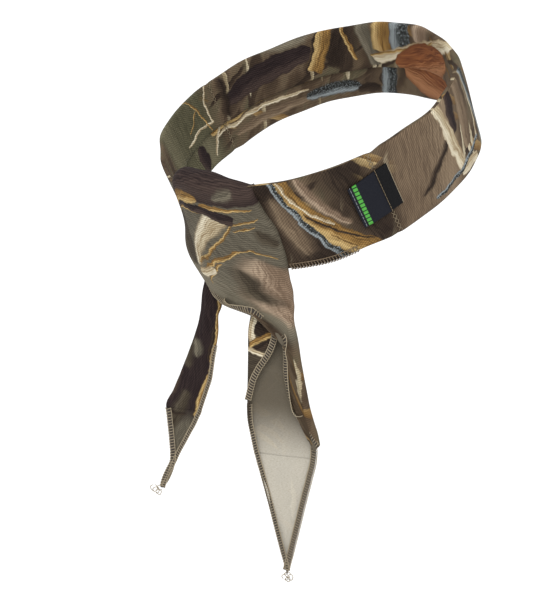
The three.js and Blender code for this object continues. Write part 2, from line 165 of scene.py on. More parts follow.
def spline(stations, t):
    """A smooth curve through evenly spaced stations, for t from 0 to 1."""
    p = np.asarray(stations, float)
    t = np.clip(np.asarray(t, float), 0, 1) * (len(p) - 1)
    i = np.clip(np.floor(t).astype(int), 0, len(p) - 2)
    f = t - i
    f = f.reshape(f.shape + (1,) * (p.ndim - 1))
    a, b = p[np.maximum(i - 1, 0)], p[i]
    c, d = p[i + 1], p[np.minimum(i + 2, len(p) - 1)]
    v0, v1 = (c - a) / 2, (d - b) / 2
    return (2 * b - 2 * c + v0 + v1) * f ** 3 + (-3 * b + 3 * c - 2 * v0 - v1) * f ** 2 + v0 * f + b


def stations_at(table, x):
    """The columns of a table after its first, smoothly interpolated at places x of that first column."""
    table = np.asarray(table, float)
    place = np.interp(x, table[:, 0], np.linspace(0, 1, len(table)))
    return np.moveaxis(spline(table[:, 1:], place), -1, 0)


def arc_lengths(points):
    steps = np.linalg.norm(np.diff(points, axis=0), axis=1)
    return np.concatenate([[0], np.cumsum(steps)])


def along(points, t):
    """Points at even shares of length on the smooth curve through some points."""
    fine = spline(points, np.linspace(0, 1, 600))
    run = arc_lengths(fine)
    return np.stack([np.interp(t * run[-1], run, fine[:, k]) for k in range(fine.shape[1])], -1)


def waves(x, y, parts):
    """A sum of smooth waves: each part is height, x period, y period and phase."""
    total = 0
    for height, x_period, y_period, phase in parts:
        total = total + height * np.sin(2 * np.pi * (x / x_period + y / y_period) + phase)
    return total


# ---- meshes ----
def unit(v):
    return v / np.maximum(np.linalg.norm(v, axis=-1, keepdims=True), 1e-9)


def grid_normals(grid):
    return unit(np.cross(np.gradient(grid, axis=0), np.gradient(grid, axis=1)))


def make_mesh(name, verts, faces, materials, face_material=None, uvs=None):
    mesh = bpy.data.meshes.new(name)
    mesh.from_pydata((np.asarray(verts) * MM).tolist(), [], [tuple(f) for f in faces])
    for m in materials:
        mesh.materials.append(m)
    if face_material is not None:
        mesh.polygons.foreach_set("material_index", np.asarray(face_material, np.int32))
    if uvs is not None:
        layer = mesh.uv_layers.new(name="strip")
        loops = np.zeros(len(mesh.loops), np.int32)
        mesh.loops.foreach_get("vertex_index", loops)
        layer.data.foreach_set("uv", np.asarray(uvs, np.float32)[loops].ravel())
    mesh.polygons.foreach_set("use_smooth", np.ones(len(mesh.polygons), bool))
    mesh.update()
    obj = bpy.data.objects.new(name, mesh)
    bpy.context.scene.collection.objects.link(obj)
    return obj


def sheet_mesh(name, grid, strip, thickness, materials):
    """A closed sheet of cloth round a grid of points. Its first material is on the side its normals face."""
    rows, cols = grid.shape[:2]
    normals = grid_normals(grid)
    half = thickness / 2 * np.ones((rows, cols, 1))
    verts = np.concatenate([(grid + normals * half).reshape(-1, 3), (grid - normals * half).reshape(-1, 3)])
    index = np.arange(rows * cols).reshape(rows, cols)
    a, b = index[:-1, :-1].ravel(), index[:-1, 1:].ravel()
    c, d = index[1:, 1:].ravel(), index[1:, :-1].ravel()
    back = rows * cols
    front_faces = np.stack([a, d, c, b], -1)
    back_faces = np.stack([a, b, c, d], -1) + back
    ring = np.concatenate([index[0, :], index[1:, -1], index[-1, -2::-1], index[-2:0:-1, 0]])
    after = np.roll(ring, -1)
    rim = np.stack([ring, after, after + back, ring + back], -1)
    faces = np.concatenate([front_faces, back_faces, rim])
    kinds = np.concatenate([np.zeros(len(front_faces)), np.ones(len(back_faces)), np.zeros(len(rim))])
    uvs = np.concatenate([strip.reshape(-1, 2)] * 2)
    sheet = make_mesh(name, verts, faces.tolist(), materials, kinds, uvs)
    smooth = np.ones(len(faces), bool)
    smooth[-len(rim):] = False
    sheet.data.polygons.foreach_set("use_smooth", smooth)
    return sheet


def tubes_mesh(name, tubes, material, sides=6):
    """Closed round threads. Each tube is its points, a direction across it at each point, and a radius."""
    verts, faces, uvs = [], [], []
    ring = np.linspace(0, 2 * np.pi, sides, endpoint=False)
    for points, across, radius in tubes:
        points = np.asarray(points, float)
        tangent = unit(np.gradient(points, axis=0))
        first = unit(np.cross(tangent, across))
        second = np.cross(tangent, first)
        start = len(verts)
        run = arc_lengths(points)
        spread = first[:, None] * np.cos(ring)[None, :, None] + second[:, None] * np.sin(ring)[None, :, None]
        verts.extend((points[:, None] + radius * spread).reshape(-1, 3))
        uvs.extend((s, k * 2 * radius) for s in run for k in range(sides))
        for i in range(len(points) - 1):
            for k in range(sides):
                k2 = (k + 1) % sides
                low, high = start + i * sides, start + (i + 1) * sides
                faces.append((low + k, low + k2, high + k2, high + k))
        last = start + (len(points) - 1) * sides
        faces.append(tuple(start + k for k in reversed(range(sides))))
        faces.append(tuple(last + k for k in range(sides)))
    return make_mesh(name, verts, faces, [material], uvs=uvs)


# ---- node helpers ----
DYE_STRENGTH = 0.76
CLOTH_SHINE = 0.1
LABEL_SHINE = 0.14
PLAIN_SHINE = 0.5


def colour(red, green, blue):
    """A colour given as 0 to 255 steps, made weaker by the dye strength that suits the studio light."""
    def linear(value):
        v = value / 255
        return v / 12.92 if v <= 0.04045 else ((v + 0.055) / 1.055) ** 2.4
    return (DYE_STRENGTH * linear(red), DYE_STRENGTH * linear(green), DYE_STRENGTH * linear(blue), 1)


def plug(tree, socket, value):
    if isinstance(value, bpy.types.NodeSocket):
        tree.links.new(value, socket)
    elif value is not None:
        socket.default_value = value


def calc(tree, operation, a, b=None, c=None, clamp=False):
    node = tree.nodes.new("ShaderNodeMath")
    node.operation = operation
    node.use_clamp = clamp
    for socket, value in zip(node.inputs, (a, b, c)):
        plug(tree, socket, value)
    return node.outputs[0]


def times(tree, a, b):
    return calc(tree, "MULTIPLY", a, b)


def plus(tree, a, b, clamp=False):
    return calc(tree, "ADD", a, b, clamp=clamp)


def minus(tree, a, b):
    return calc(tree, "SUBTRACT", a, b)


def times_plus(tree, a, b, c):
    return calc(tree, "MULTIPLY_ADD", a, b, c)


def step_up(tree, value, low, high):
    """0 below low, 1 above high, smooth between."""
    node = tree.nodes.new("ShaderNodeMapRange")
    node.interpolation_type = "SMOOTHSTEP"
    for socket, number in zip(node.inputs, (value, low, high, 0.0, 1.0)):
        plug(tree, socket, number)
    return node.outputs[0]


def mix(tree, share, a, b, blend="MIX"):
    node = tree.nodes.new("ShaderNodeMix")
    node.data_type = "RGBA"
    node.blend_type = blend
    plug(tree, node.inputs[0], share)
    plug(tree, node.inputs[6], a)
    plug(tree, node.inputs[7], b)
    return node.outputs[2]


def place_at(tree, x, y):
    node = tree.nodes.new("ShaderNodeCombineXYZ")
    plug(tree, node.inputs[0], x)
    plug(tree, node.inputs[1], y)
    return node.outputs[0]


def stretched(tree, x, y, x_scale, y_scale):
    return place_at(tree, times(tree, x, x_scale), times(tree, y, y_scale))


def noise(tree, place, scale=1.0, detail=2.0, rough=0.5):
    node = tree.nodes.new("ShaderNodeTexNoise")
    plug(tree, node.inputs["Vector"], place)
    node.inputs["Scale"].default_value = scale
    node.inputs["Detail"].default_value = detail
    node.inputs["Roughness"].default_value = rough
    return node.outputs["Fac"]


def ramp(tree, value, stops):
    node = tree.nodes.new("ShaderNodeValToRGB")
    plug(tree, node.inputs[0], value)
    elements = node.color_ramp.elements
    while len(elements) < len(stops):
        elements.new(0.5)
    for element, (position, shade) in zip(elements, stops):
        element.position = position
        element.color = shade
    return node.outputs[0]


def turned(tree, x, y, degrees):
    """Coordinates along and across a direction."""
    c, s = math.cos(math.radians(degrees)), math.sin(math.radians(degrees))
    run = plus(tree, times(tree, x, c), times(tree, y, s))
    across = minus(tree, times(tree, y, c), times(tree, x, s))
    return run, across


# ---- print ----
def palette(*shades):
    """A reed's edge, body and light colours."""
    return [colour(*shade) for shade in shades]


GOLD = palette((104, 78, 44), (166, 128, 72), (214, 184, 126))
CREAM = palette((158, 136, 104), (212, 198, 166), (236, 226, 200))
SHADE = palette((42, 33, 27), (56, 45, 37), (72, 59, 48))
PLUM = palette((40, 31, 31), (54, 43, 42), (78, 64, 58))
TAUPE = palette((104, 87, 70), (128, 109, 88), (150, 130, 106))
OLIVE = palette((80, 77, 58), (100, 96, 74), (122, 116, 92))
ORANGE = palette((104, 62, 40), (158, 98, 60), (186, 132, 92))
SLATE = palette((36, 37, 36), (56, 58, 56), (160, 168, 170))
PINK = palette((118, 98, 80), (142, 120, 100), (186, 164, 140))
DIM = palette((62, 54, 44), (80, 71, 58), (98, 89, 74))
GREY = palette((88, 82, 70), (112, 105, 90), (134, 126, 108))


def reed_group():
    """One painted reed, leaf or stalk laid over what is under it."""
    tree = bpy.data.node_groups.new("reed", "ShaderNodeTree")
    face = tree.interface
    face.new_socket("Under", in_out="INPUT", socket_type="NodeSocketColor")
    for name in ("X", "Y", "Start X", "Start Y", "Cos", "Sin", "Length", "Bend", "Width", "End Width",
                 "Point", "Soft", "Speckle"):
        face.new_socket(name, in_out="INPUT", socket_type="NodeSocketFloat")
    for name in ("Edge", "Body", "Light"):
        face.new_socket(name, in_out="INPUT", socket_type="NodeSocketColor")
    face.new_socket("Color", in_out="OUTPUT", socket_type="NodeSocketColor")
    given = tree.nodes.new("NodeGroupInput").outputs
    dx = minus(tree, given["X"], given["Start X"])
    dy = minus(tree, given["Y"], given["Start Y"])
    run = times_plus(tree, dx, given["Cos"], times(tree, dy, given["Sin"]))
    side = minus(tree, times(tree, dy, given["Cos"]), times(tree, dx, given["Sin"]))
    share = calc(tree, "DIVIDE", run, given["Length"])
    hump = times(tree, times(tree, share, minus(tree, 1.0, share)), 4.0)
    across = minus(tree, side, times(tree, hump, given["Bend"]))
    widening = minus(tree, given["End Width"], given["Width"])
    width = times_plus(tree, share, widening, given["Width"])
    pointed = calc(tree, "POWER", calc(tree, "MAXIMUM", hump, 0.0001), given["Point"])
    half = times(tree, times(tree, width, 0.5), pointed)
    within = minus(tree, half, calc(tree, "ABSOLUTE", across))
    soft = given["Soft"]
    lowest = times(tree, soft, -1.0)
    mask = step_up(tree, within, lowest, soft)
    ends = times(tree, step_up(tree, run, lowest, soft),
                step_up(tree, minus(tree, given["Length"], run), lowest, soft))
    mask = times(tree, mask, ends)
    level = calc(tree, "DIVIDE", across, calc(tree, "MAXIMUM", half, 0.05))
    streak = noise(tree, stretched(tree, run, across, 0.06, 0.9), 1.0, 3.0, 0.6)
    body = mix(tree, step_up(tree, streak, 0.35, 0.65), given["Edge"], given["Body"])
    lit = plus(tree, times(tree, level, -0.6), streak)
    shine = times(tree, step_up(tree, lit, 0.45, 1.0), 0.9)
    body = mix(tree, shine, body, given["Light"])
    outward = plus(tree, calc(tree, "ABSOLUTE", level), times(tree, streak, 0.4))
    rim = step_up(tree, outward, 0.85, 1.25)
    body = mix(tree, times(tree, rim, 0.7), body, given["Edge"])
    grain = noise(tree, place_at(tree, given["X"], given["Y"]), 0.9, 2.0, 0.7)
    flecks = times(tree, step_up(tree, grain, 0.53, 0.63), given["Speckle"])
    body = mix(tree, flecks, body, given["Light"])
    result = mix(tree, mask, given["Under"], body)
    end = tree.nodes.new("NodeGroupOutput")
    tree.links.new(result, end.inputs["Color"])
    return tree


REED = reed_group()


def reed(tree, under, x, y, start, end, width, palette,
         bend=0.0, end_width=None, point=0.25, soft=0.5, speckle=0.0):
    dx, dy = end[0] - start[0], end[1] - start[1]
    length = math.hypot(dx, dy)
    node = tree.nodes.new("ShaderNodeGroup")
    node.node_tree = REED
    values = {
        "Under": under, "X": x, "Y": y, "Start X": start[0], "Start Y": start[1], "Cos": dx / length,
        "Sin": dy / length, "Length": length, "Bend": bend, "Width": width,
        "End Width": width if end_width is None else end_width, "Point": point, "Soft": soft,
        "Speckle": speckle, "Edge": palette[0], "Body": palette[1], "Light": palette[2],
    }
    for name, value in values.items():
        plug(tree, node.inputs[name], value)
    return node.outputs[0]


def scattered(tree, under, x, y, angle, length, width, share, stops, seed):
    """A layer of reeds scattered at one angle, each its own tone, lit along one side."""
    run, across = turned(tree, x, y, angle)
    place = place_at(tree, times_plus(tree, run, 1 / length, seed),
                     times_plus(tree, across, 1 / width, seed * 0.7))
    cells = tree.nodes.new("ShaderNodeTexVoronoi")
    cells.voronoi_dimensions = "2D"
    plug(tree, cells.inputs["Vector"], place)
    cells.inputs["Scale"].default_value = 1.0
    tones = tree.nodes.new("ShaderNodeSeparateColor")
    tree.links.new(cells.outputs["Color"], tones.inputs[0])
    chosen = step_up(tree, tones.outputs[0], 1 - share - 0.02, 1 - share + 0.02)
    inside = minus(tree, 1.0, step_up(tree, cells.outputs["Distance"], 0.32, 0.42))
    centre = tree.nodes.new("ShaderNodeSeparateXYZ")
    tree.links.new(cells.outputs["Position"], centre.inputs[0])
    here = tree.nodes.new("ShaderNodeSeparateXYZ")
    tree.links.new(place, here.inputs[0])
    level = minus(tree, here.outputs[1], centre.outputs[1])
    streak = noise(tree, stretched(tree, run, across, 0.07, 1.1), 1.0, 3.0, 0.6)
    tone = plus(tree, times(tree, tones.outputs[1], 0.7), times(tree, streak, 0.45))
    tone = plus(tree, tone, times(tree, level, 0.5), clamp=True)
    return mix(tree, times(tree, chosen, inside), under, ramp(tree, tone, stops))


def ground_group():
    """The print's own ground: shadowed marsh with reeds of several lengths lying across it."""
    tree = bpy.data.node_groups.new("marsh_ground", "ShaderNodeTree")
    face = tree.interface
    face.new_socket("X", in_out="INPUT", socket_type="NodeSocketFloat")
    face.new_socket("Y", in_out="INPUT", socket_type="NodeSocketFloat")
    face.new_socket("Color", in_out="OUTPUT", socket_type="NodeSocketColor")
    given = tree.nodes.new("NodeGroupInput").outputs
    x, y = given["X"], given["Y"]
    run, across = turned(tree, x, y, 55)
    patches = noise(tree, stretched(tree, run, across, 0.018, 0.06), 1.0, 3.0, 0.55)
    result = ramp(tree, patches, [
        (0.28, colour(58, 47, 38)), (0.42, colour(84, 69, 54)), (0.52, colour(108, 92, 73)),
        (0.62, colour(98, 90, 70)), (0.75, colour(130, 115, 93)),
    ])
    dark = [(0.0, colour(44, 35, 29)), (0.5, colour(68, 55, 44)), (1.0, colour(112, 95, 76))]
    gold = [(0.0, colour(72, 52, 34)), (0.45, colour(134, 104, 64)), (1.0, colour(206, 180, 130))]
    pale = [(0.0, colour(96, 82, 62)), (0.5, colour(160, 144, 114)), (1.0, colour(220, 208, 178))]
    result = scattered(tree, result, x, y, 62, 60.0, 13.0, 0.34, dark, 3.1)
    result = scattered(tree, result, x, y, -38, 46.0, 8.0, 0.22, gold, 7.7)
    result = scattered(tree, result, x, y, 18, 52.0, 6.0, 0.16, dark, 11.3)
    result = scattered(tree, result, x, y, 74, 38.0, 4.0, 0.14, pale, 15.9)
    end = tree.nodes.new("NodeGroupOutput")
    tree.links.new(result, end.inputs["Color"])
    return tree


GROUND = ground_group()


def twill(tree, x, y, rib_angle, pitch=1.35):
    """The height of the cloth's diagonal ribs, 0 to 1, a little uneven."""
    _, across = turned(tree, x, y, rib_angle)
    wander = noise(tree, place_at(tree, x, y), 0.12, 2.0)
    phase = plus(tree, times(tree, across, 2 * math.pi / pitch), times(tree, wander, 5.0))
    return times_plus(tree, calc(tree, "SINE", phase), 0.5, 0.5)


def new_material(name):
    material = bpy.data.materials.new(name)
    material.use_nodes = True
    tree = material.node_tree
    shader = tree.nodes["Principled BSDF"]
    uv = tree.nodes.new("ShaderNodeUVMap")
    uv.uv_map = "strip"
    split = tree.nodes.new("ShaderNodeSeparateXYZ")
    tree.links.new(uv.outputs[0], split.inputs[0])
    return material, tree, shader, split.outputs[0], split.outputs[1]


def set_surface(tree, shader, shade, roughness, shine=PLAIN_SHINE):
    tree.links.new(shade, shader.inputs["Base Color"])
    shader.inputs["Roughness"].default_value = roughness
    shader.inputs["Specular IOR Level"].default_value = shine


def add_bump(tree, shader, height, distance):
    bump = tree.nodes.new("ShaderNodeBump")
    bump.inputs["Strength"].default_value = 1.0
    bump.inputs["Distance"].default_value = distance * MM
    tree.links.new(height, bump.inputs["Height"])
    tree.links.new(bump.outputs[0], shader.inputs["Normal"])


def wobbled(tree, x, y):
    """Places pushed a little aside, so that painted edges aren't ruled lines."""
    place = place_at(tree, x, y)
    push_x = minus(tree, noise(tree, place, 0.08, 3.0, 0.6), 0.5)
    shifted = place_at(tree, plus(tree, x, 170.0), y)
    push_y = minus(tree, noise(tree, shifted, 0.1, 3.0, 0.6), 0.5)
    return (times_plus(tree, push_x, 7.0, x), times_plus(tree, push_y, 6.0, y))


def print_colour(tree, x, y, reeds):
    px, py = wobbled(tree, x, y)
    ground = tree.nodes.new("ShaderNodeGroup")
    ground.node_tree = GROUND
    plug(tree, ground.inputs["X"], px)
    plug(tree, ground.inputs["Y"], py)
    result = ground.outputs[0]
    for args, options in reeds:
        result = reed(tree, result, px, py, *args, **options)
    return result


def paint(*args, **options):
    return args, options


def printed_cloth(name, reeds, rib_angle):
    material, tree, shader, x, y = new_material(name)
    shade = print_colour(tree, x, y, reeds)
    ribs = twill(tree, x, y, rib_angle)
    fibre = noise(tree, place_at(tree, x, y), 2.2, 3.0, 0.6)
    # Painted shade: the ribs' grooves darken the print's colour, standing for the shadow in them; the fibre
    # noise adds uneven tone.
    tone = times_plus(tree, ribs, 0.46, 0.62)
    tone = plus(tree, tone, times(tree, fibre, 0.22))
    rib_shade_and_fibre = tree.nodes.new("ShaderNodeCombineColor")
    for socket in rib_shade_and_fibre.inputs:
        tree.links.new(tone, socket)
    shade = mix(tree, 1.0, shade, rib_shade_and_fibre.outputs[0], "MULTIPLY")
    set_surface(tree, shader, shade, 0.82, CLOTH_SHINE)
    add_bump(tree, shader, plus(tree, ribs, times(tree, fibre, 0.5)), 0.18)
    return material


def wrong_side(name, reeds, rib_angle, ghost=0.22, painted_shade_depths=None):
    """The unprinted side: pale cloth with the print showing faintly through it, and painted shade above some
    depths.
    """
    material, tree, shader, x, y = new_material(name)
    shade = print_colour(tree, x, y, reeds)
    threads = noise(tree, stretched(tree, x, y, 0.7, 2.4), 1.0, 3.0, 0.7)
    pale = ramp(tree, threads, [
        (0.25, colour(176, 168, 150)), (0.5, colour(206, 200, 186)), (0.8, colour(222, 217, 204)),
    ])
    shade = mix(tree, ghost, pale, shade)
    if painted_shade_depths is not None:
        low, high = painted_shade_depths
        # Painted shade: above these depths the colour is drawn towards a dark brown that stands for shadow
        # over the cloth.
        painted_shade = times(tree, step_up(tree, y, -high, -low), 0.95)
        shade = mix(tree, painted_shade, shade, mix(tree, 0.08, colour(84, 74, 58), shade))
    set_surface(tree, shader, shade, 0.9, CLOTH_SHINE)
    ribs = twill(tree, x, y, rib_angle)
    add_bump(tree, shader, plus(tree, times(tree, ribs, 0.4), threads), 0.15)
    return material


def thread_material(name, dark, light):
    material, tree, shader, x, y = new_material(name)
    phase = times_plus(tree, x, 9.0, times(tree, y, 5.0))
    twist = times_plus(tree, calc(tree, "SINE", phase), 0.5, 0.5)
    patches = noise(tree, place_at(tree, x, y), 0.7, 2.0)
    tone = times_plus(tree, twist, 0.5, times(tree, patches, 0.5))
    set_surface(tree, shader, mix(tree, tone, dark, light), 0.6)
    add_bump(tree, shader, twist, 0.08)
    return material


def label_cloth(name, base, light, stripes=()):
    """Woven label cloth with plain stripes: each is its left and right edge and its colour."""
    material, tree, shader, x, y = new_material(name)
    weave = times(tree, calc(tree, "SINE", times(tree, x, 14.0)), calc(tree, "SINE", times(tree, y, 14.0)))
    fuzz = noise(tree, place_at(tree, x, y), 1.5, 3.0)
    shade = mix(tree, times_plus(tree, weave, 0.2, times(tree, fuzz, 0.4)), base, light)
    for left, right, tone in stripes:
        edge = times(tree, step_up(tree, x, left - 0.15, left + 0.15),
                     step_up(tree, x, right + 0.15, right - 0.15))
        rows = step_up(tree, calc(tree, "SINE", times(tree, y, 2.4)), -0.9, -0.5)
        shade = mix(tree, times(tree, edge, rows), shade, tone)
    set_surface(tree, shader, shade, 0.6, LABEL_SHINE)
    add_bump(tree, shader, weave, 0.06)
    return material


def pad_material():
    material, tree, shader, x, y = new_material("towelling")
    loops = noise(tree, place_at(tree, x, y), 1.2, 3.0, 0.7)
    shade = ramp(tree, loops, [(0.3, colour(190, 186, 172)), (0.7, colour(232, 230, 220))])
    set_surface(tree, shader, shade, 0.95)
    add_bump(tree, shader, loops, 0.5)
    return material


# ---- prints, laid out in strip millimetres ----
# Strokes on faces that the photograph shows stand where its leaves, reeds and patches were measured; one
# beside the knot is painted shade.
# Those on hidden faces are guesses.
BAND_OUTER_REEDS = [
    paint((-10, -40), (6, 40), 60, TAUPE, soft=10.0, point=0.05),
    paint((-60, 40), (-38, -30), 26, SHADE, soft=9.0, point=0.1),
    # Painted shade: a wide soft dark stroke where the knot shades the band beside it.
    paint((-104, 34), (-76, -34), 34, SHADE, soft=6.0, point=0.05),
    paint((-95, 20), (-84, -20), 12, TAUPE, soft=5.0, point=0.4),
    paint((-79, 32), (-56, -8), 5.5, PINK, bend=-3.0, soft=1.8, point=0.3),
    paint((-90, 34), (-46, -32), 8.5, GOLD, bend=-6.0, end_width=15, point=0.02, soft=0.5),
    paint((-91, 34), (-66, -4), 1.6, CREAM, bend=-3.0, point=0.2, soft=0.35),
    paint((-80, 8), (-46, -24), 1.6, SHADE, bend=-2.0, point=0.3, soft=0.5),
    paint((-94, 32), (-64, -30), 4.2, SLATE, bend=-2.0, point=0.05, soft=0.5, speckle=0.9),
    paint((21, 12), (-12, -15), 4.6, SHADE, bend=2.0, point=0.5, soft=1.4),
    paint((32, 34), (27, 4), 9.0, PLUM, bend=-1.5, point=0.4, soft=0.8),
    paint((44, 34), (38, -12), 12.0, TAUPE, bend=1.0, point=0.2, soft=1.0),
    paint((14, 32), (26, -17), 8.4, CREAM, point=0.02, soft=0.4),
    paint((24, -20), (48, -24), 7.0, CREAM, point=0.05, soft=0.4),
    paint((59, 32), (52, -16), 2.2, CREAM, bend=2.0, point=0.05, soft=0.35),
    paint((54, -14), (-4, -22), 3.0, SLATE, bend=1.0, point=0.1, soft=0.5, speckle=1.0),
    paint((62, 32), (66, -32), 9.0, SLATE, point=0.1, soft=1.0, speckle=0.5),
    paint((390, 40), (400, -40), 120, GREY, soft=14.0, point=0.05),
]

INNER_UPPER_REEDS = [
    paint((345, 20), (350, 80), 70, OLIVE, soft=8.0, point=0.05),
    paint((262, 26), (226, 30), 12, GREY, soft=4.0, point=0.3),
    paint((214, 58), (196, 26), 20, SHADE, soft=3.0, point=0.2),
    paint((299, 49), (226, 41), 16, PLUM, bend=1.5, point=0.35, soft=0.8),
    paint((213, 24), (230, 56), 12, GOLD, bend=1.0, point=0.05, soft=0.6),
    paint((219, 24), (236, 56), 1.6, SHADE, bend=1.0, point=0.05, soft=0.4),
    paint((203, 26), (198, 54), 3.0, GOLD, point=0.2, soft=0.4),
    paint((188, 24), (184, 60), 9.0, GREY, point=0.1, soft=1.2),
    paint((172, 24), (176, 50), 15, GOLD, point=0.1, soft=0.8),
    paint((155, 24), (161, 50), 17, SLATE, point=0.1, soft=0.8, speckle=0.8),
    paint((134, 24), (140, 44), 16, PINK, point=0.2, soft=2.0),
    paint((184, 55), (92, 28), 7.0, CREAM, bend=-3.0, end_width=10, point=0.05, soft=0.5),
    paint((186, 52), (120, 36), 2.2, GOLD, bend=-3.0, point=0.2, soft=0.5),
    paint((166, 60), (106, 44), 26, ORANGE, bend=-2.0, point=0.45, soft=0.6),
    paint((308, 30), (313, 56), 1.8, CREAM, bend=-3.0, point=0.1, soft=0.3),
    paint((313, 56), (346, 57), 1.8, CREAM, bend=-2.0, point=0.1, soft=0.3),
    paint((330, 28), (318, 60), 1.4, GOLD, bend=2.0, point=0.1, soft=0.3),
    paint((324, 40), (338, 50), 1.2, GOLD, bend=1.0, point=0.2, soft=0.3),
    paint((296, 30), (300, 58), 5.0, SHADE, point=0.1, soft=1.5),
]
INNER_LOWER_REEDS = [
    paint((345, -20), (350, -60), 70, OLIVE, soft=8.0, point=0.05),
    paint((172, -60), (182, -26), 12, SLATE, point=0.05, soft=0.8, speckle=0.7),
    paint((160, -58), (118, -40), 38, ORANGE, point=0.4, soft=0.6),
    paint((318, -52), (206, -56), 8.0, GOLD, bend=3.0, end_width=6, point=0.15, soft=0.6),
    paint((316, -47), (238, -46), 3.6, CREAM, bend=2.0, point=0.4, soft=0.5),
    paint((300, -40), (236, -38), 8.0, TAUPE, point=0.4, soft=1.2),
    paint((242, -40), (200, -40), 11, SLATE, point=0.3, soft=1.4, speckle=0.5),
    paint((204, -36), (186, -34), 9, SHADE, point=0.3, soft=1.4),
    paint((334, -52), (332, -30), 11, PLUM, point=0.5, soft=0.8),
    paint((320, -34), (306, -56), 2.0, CREAM, bend=2.0, point=0.2, soft=0.4),
]

WRAP_REEDS = [
    paint((0, -20), (80, -70), 110, GREY, soft=6.0, point=0.05),
    paint((66, -44), (30, -90), 26, PINK, soft=6.0, point=0.3),
    paint((46, -48), (34, -76), 12, DIM, soft=4.0, point=0.4),
    paint((-2, -16), (8, -54), 16, DIM, soft=1.5, point=0.2),
    paint((12, -64), (37, -47), 1.5, GOLD, bend=1.5, point=0.2, soft=0.4),
    paint((10, -58), (56, -37), 2.6, GOLD, bend=1.5, point=0.3, soft=0.4),
    paint((54, -37.5), (75, -42), 1.5, GOLD, bend=2.5, point=0.2, soft=0.4),
    paint((7, -60), (26, -52), 5.5, CREAM, point=0.6, soft=0.5),
    paint((63, -22), (78, -34), 7.0, DIM, point=0.5, soft=1.8),
    paint((48, -20.5), (67, -13.5), 1.7, GOLD, bend=-0.8, point=0.4, soft=0.4),
    paint((50, -24), (64, -19), 1.3, GOLD, bend=-0.8, point=0.4, soft=0.4),
    paint((42, -15), (12, -53), 19, CREAM, bend=-2.5, end_width=4, point=0.15, soft=1.6),
    paint((50, -19), (14, -50), 2.4, GOLD, bend=4.5, point=0.3, soft=0.6),
    paint((-10, 8), (88, 21), 44, PLUM, point=0.02, soft=0.7),
    paint((-5, -6), (26, -8), 8.0, GOLD, point=0.4, soft=0.8),
    paint((39, -3), (52, 2), 5.0, GREY, point=0.5, soft=2.0),
    paint((-3, -14), (34, -15.5), 1.8, GOLD, point=0.1, soft=0.4),
    paint((27, -11.5), (62, -8), 5.5, GOLD, end_width=1.5, point=0.25, soft=0.5),
    paint((3, -12.5), (51, -17.5), 2.5, PLUM, bend=1.2, end_width=7.5, point=0.08, soft=0.5),
]
RIGHT_TAIL_REEDS = [
    paint((-30, -60), (60, -60), 200, DIM, soft=8.0, point=0.02),
    paint((-2, -4), (-5, -23), 5.0, CREAM, bend=1.0, point=0.1, soft=0.5),
    paint((-6, -6), (-16, -20), 10, SHADE, point=0.2, soft=0.6),
    paint((-20, -10), (-1, -22), 4.2, GOLD, point=0.1, soft=0.5),
    paint((-12, -19), (-3, -25), 5.0, SHADE, point=0.3, soft=0.6),
    paint((-15, -27), (1, -24), 3.4, CREAM, point=0.15, soft=0.5),
    paint((30, -10), (50, -90), 12, TAUPE, point=0.3, soft=2.0),
    paint((20, -30), (52, -56), 4.0, GOLD, bend=2.0, point=0.3, soft=0.6),
    paint((14, -70), (44, -120), 7.0, SHADE, bend=-3.0, point=0.4, soft=0.8),
    paint((22, -60), (30, -140), 3.4, CREAM, bend=2.0, point=0.3, soft=0.5),
]
GHOST_REEDS = [
    paint((8, -35), (27, -40), 5.0, CREAM, point=0.1, soft=0.6),
    paint((20, -44), (12, -54), 1.0, CREAM, point=0.3, soft=0.4),
    paint((24, -66), (13, -80), 1.0, CREAM, point=0.3, soft=0.4),
]
LEFT_TAIL_REEDS = [
    paint((-40, 20), (-20, -160), 160, PLUM, soft=8.0, point=0.02),
    paint((-26, 6), (-16, -50), 9, DIM, soft=3.0, point=0.3),
    paint((-14, -30), (-10, -42), 5, GREY, soft=2.0, point=0.5),
    paint((-20, -88), (-8, -150), 60, GREY, soft=7.0, point=0.05),
    paint((-12, -66), (-18, -100), 10, DIM, soft=3.0, point=0.4),
    paint((-30, -18), (-24, -70), 7, TAUPE, soft=4.0, point=0.4),
    paint((-28, -80), (-8, -84), 2.0, SHADE, soft=1.0, point=0.3),
    paint((-1.2, -2), (-1.0, -58), 2.2, GOLD, point=0.05, soft=0.6),
    paint((-2.5, -54), (-1.6, -84), 4.0, GOLD, point=0.4, soft=0.8),
    paint((-3.6, -22), (-3.2, -44), 2.6, SHADE, point=0.4, soft=0.8),
]

TWILL_OUT = printed_cloth("printed_twill_outer", BAND_OUTER_REEDS, 40)
TWILL_IN_UPPER = printed_cloth("printed_twill_inner_upper", INNER_UPPER_REEDS, -40)
TWILL_IN_LOWER = printed_cloth("printed_twill_inner_lower", INNER_LOWER_REEDS, -40)
TWILL_WRAP = printed_cloth("printed_twill_wrap", WRAP_REEDS, 0)
TWILL_RIGHT_TAIL = printed_cloth("printed_twill_right_tail", RIGHT_TAIL_REEDS, 12)
TWILL_LEFT_TAIL = printed_cloth("printed_twill_left_tail", LEFT_TAIL_REEDS, 60)
BACK_PLAIN = wrong_side("wrong_side", [], 40)
# Painted shade: the tail's wrong side is dark down to 58 mm below the knot, fading out by 100 mm, for the
# shadow the flaps cast over it.
BACK_TAIL = wrong_side("wrong_side_tail", GHOST_REEDS, 40, 0.15, (58, 100))
# Painted shade: the wrap's wrong side, inside the knot, is dark all over.
SHADED_BACK_WRAP = wrong_side("wrong_side_wrap_painted_shade", [], 40, 0.22, (300, 400))
TAN_THREAD = thread_material("tan_thread", colour(112, 92, 68), colour(206, 192, 162))
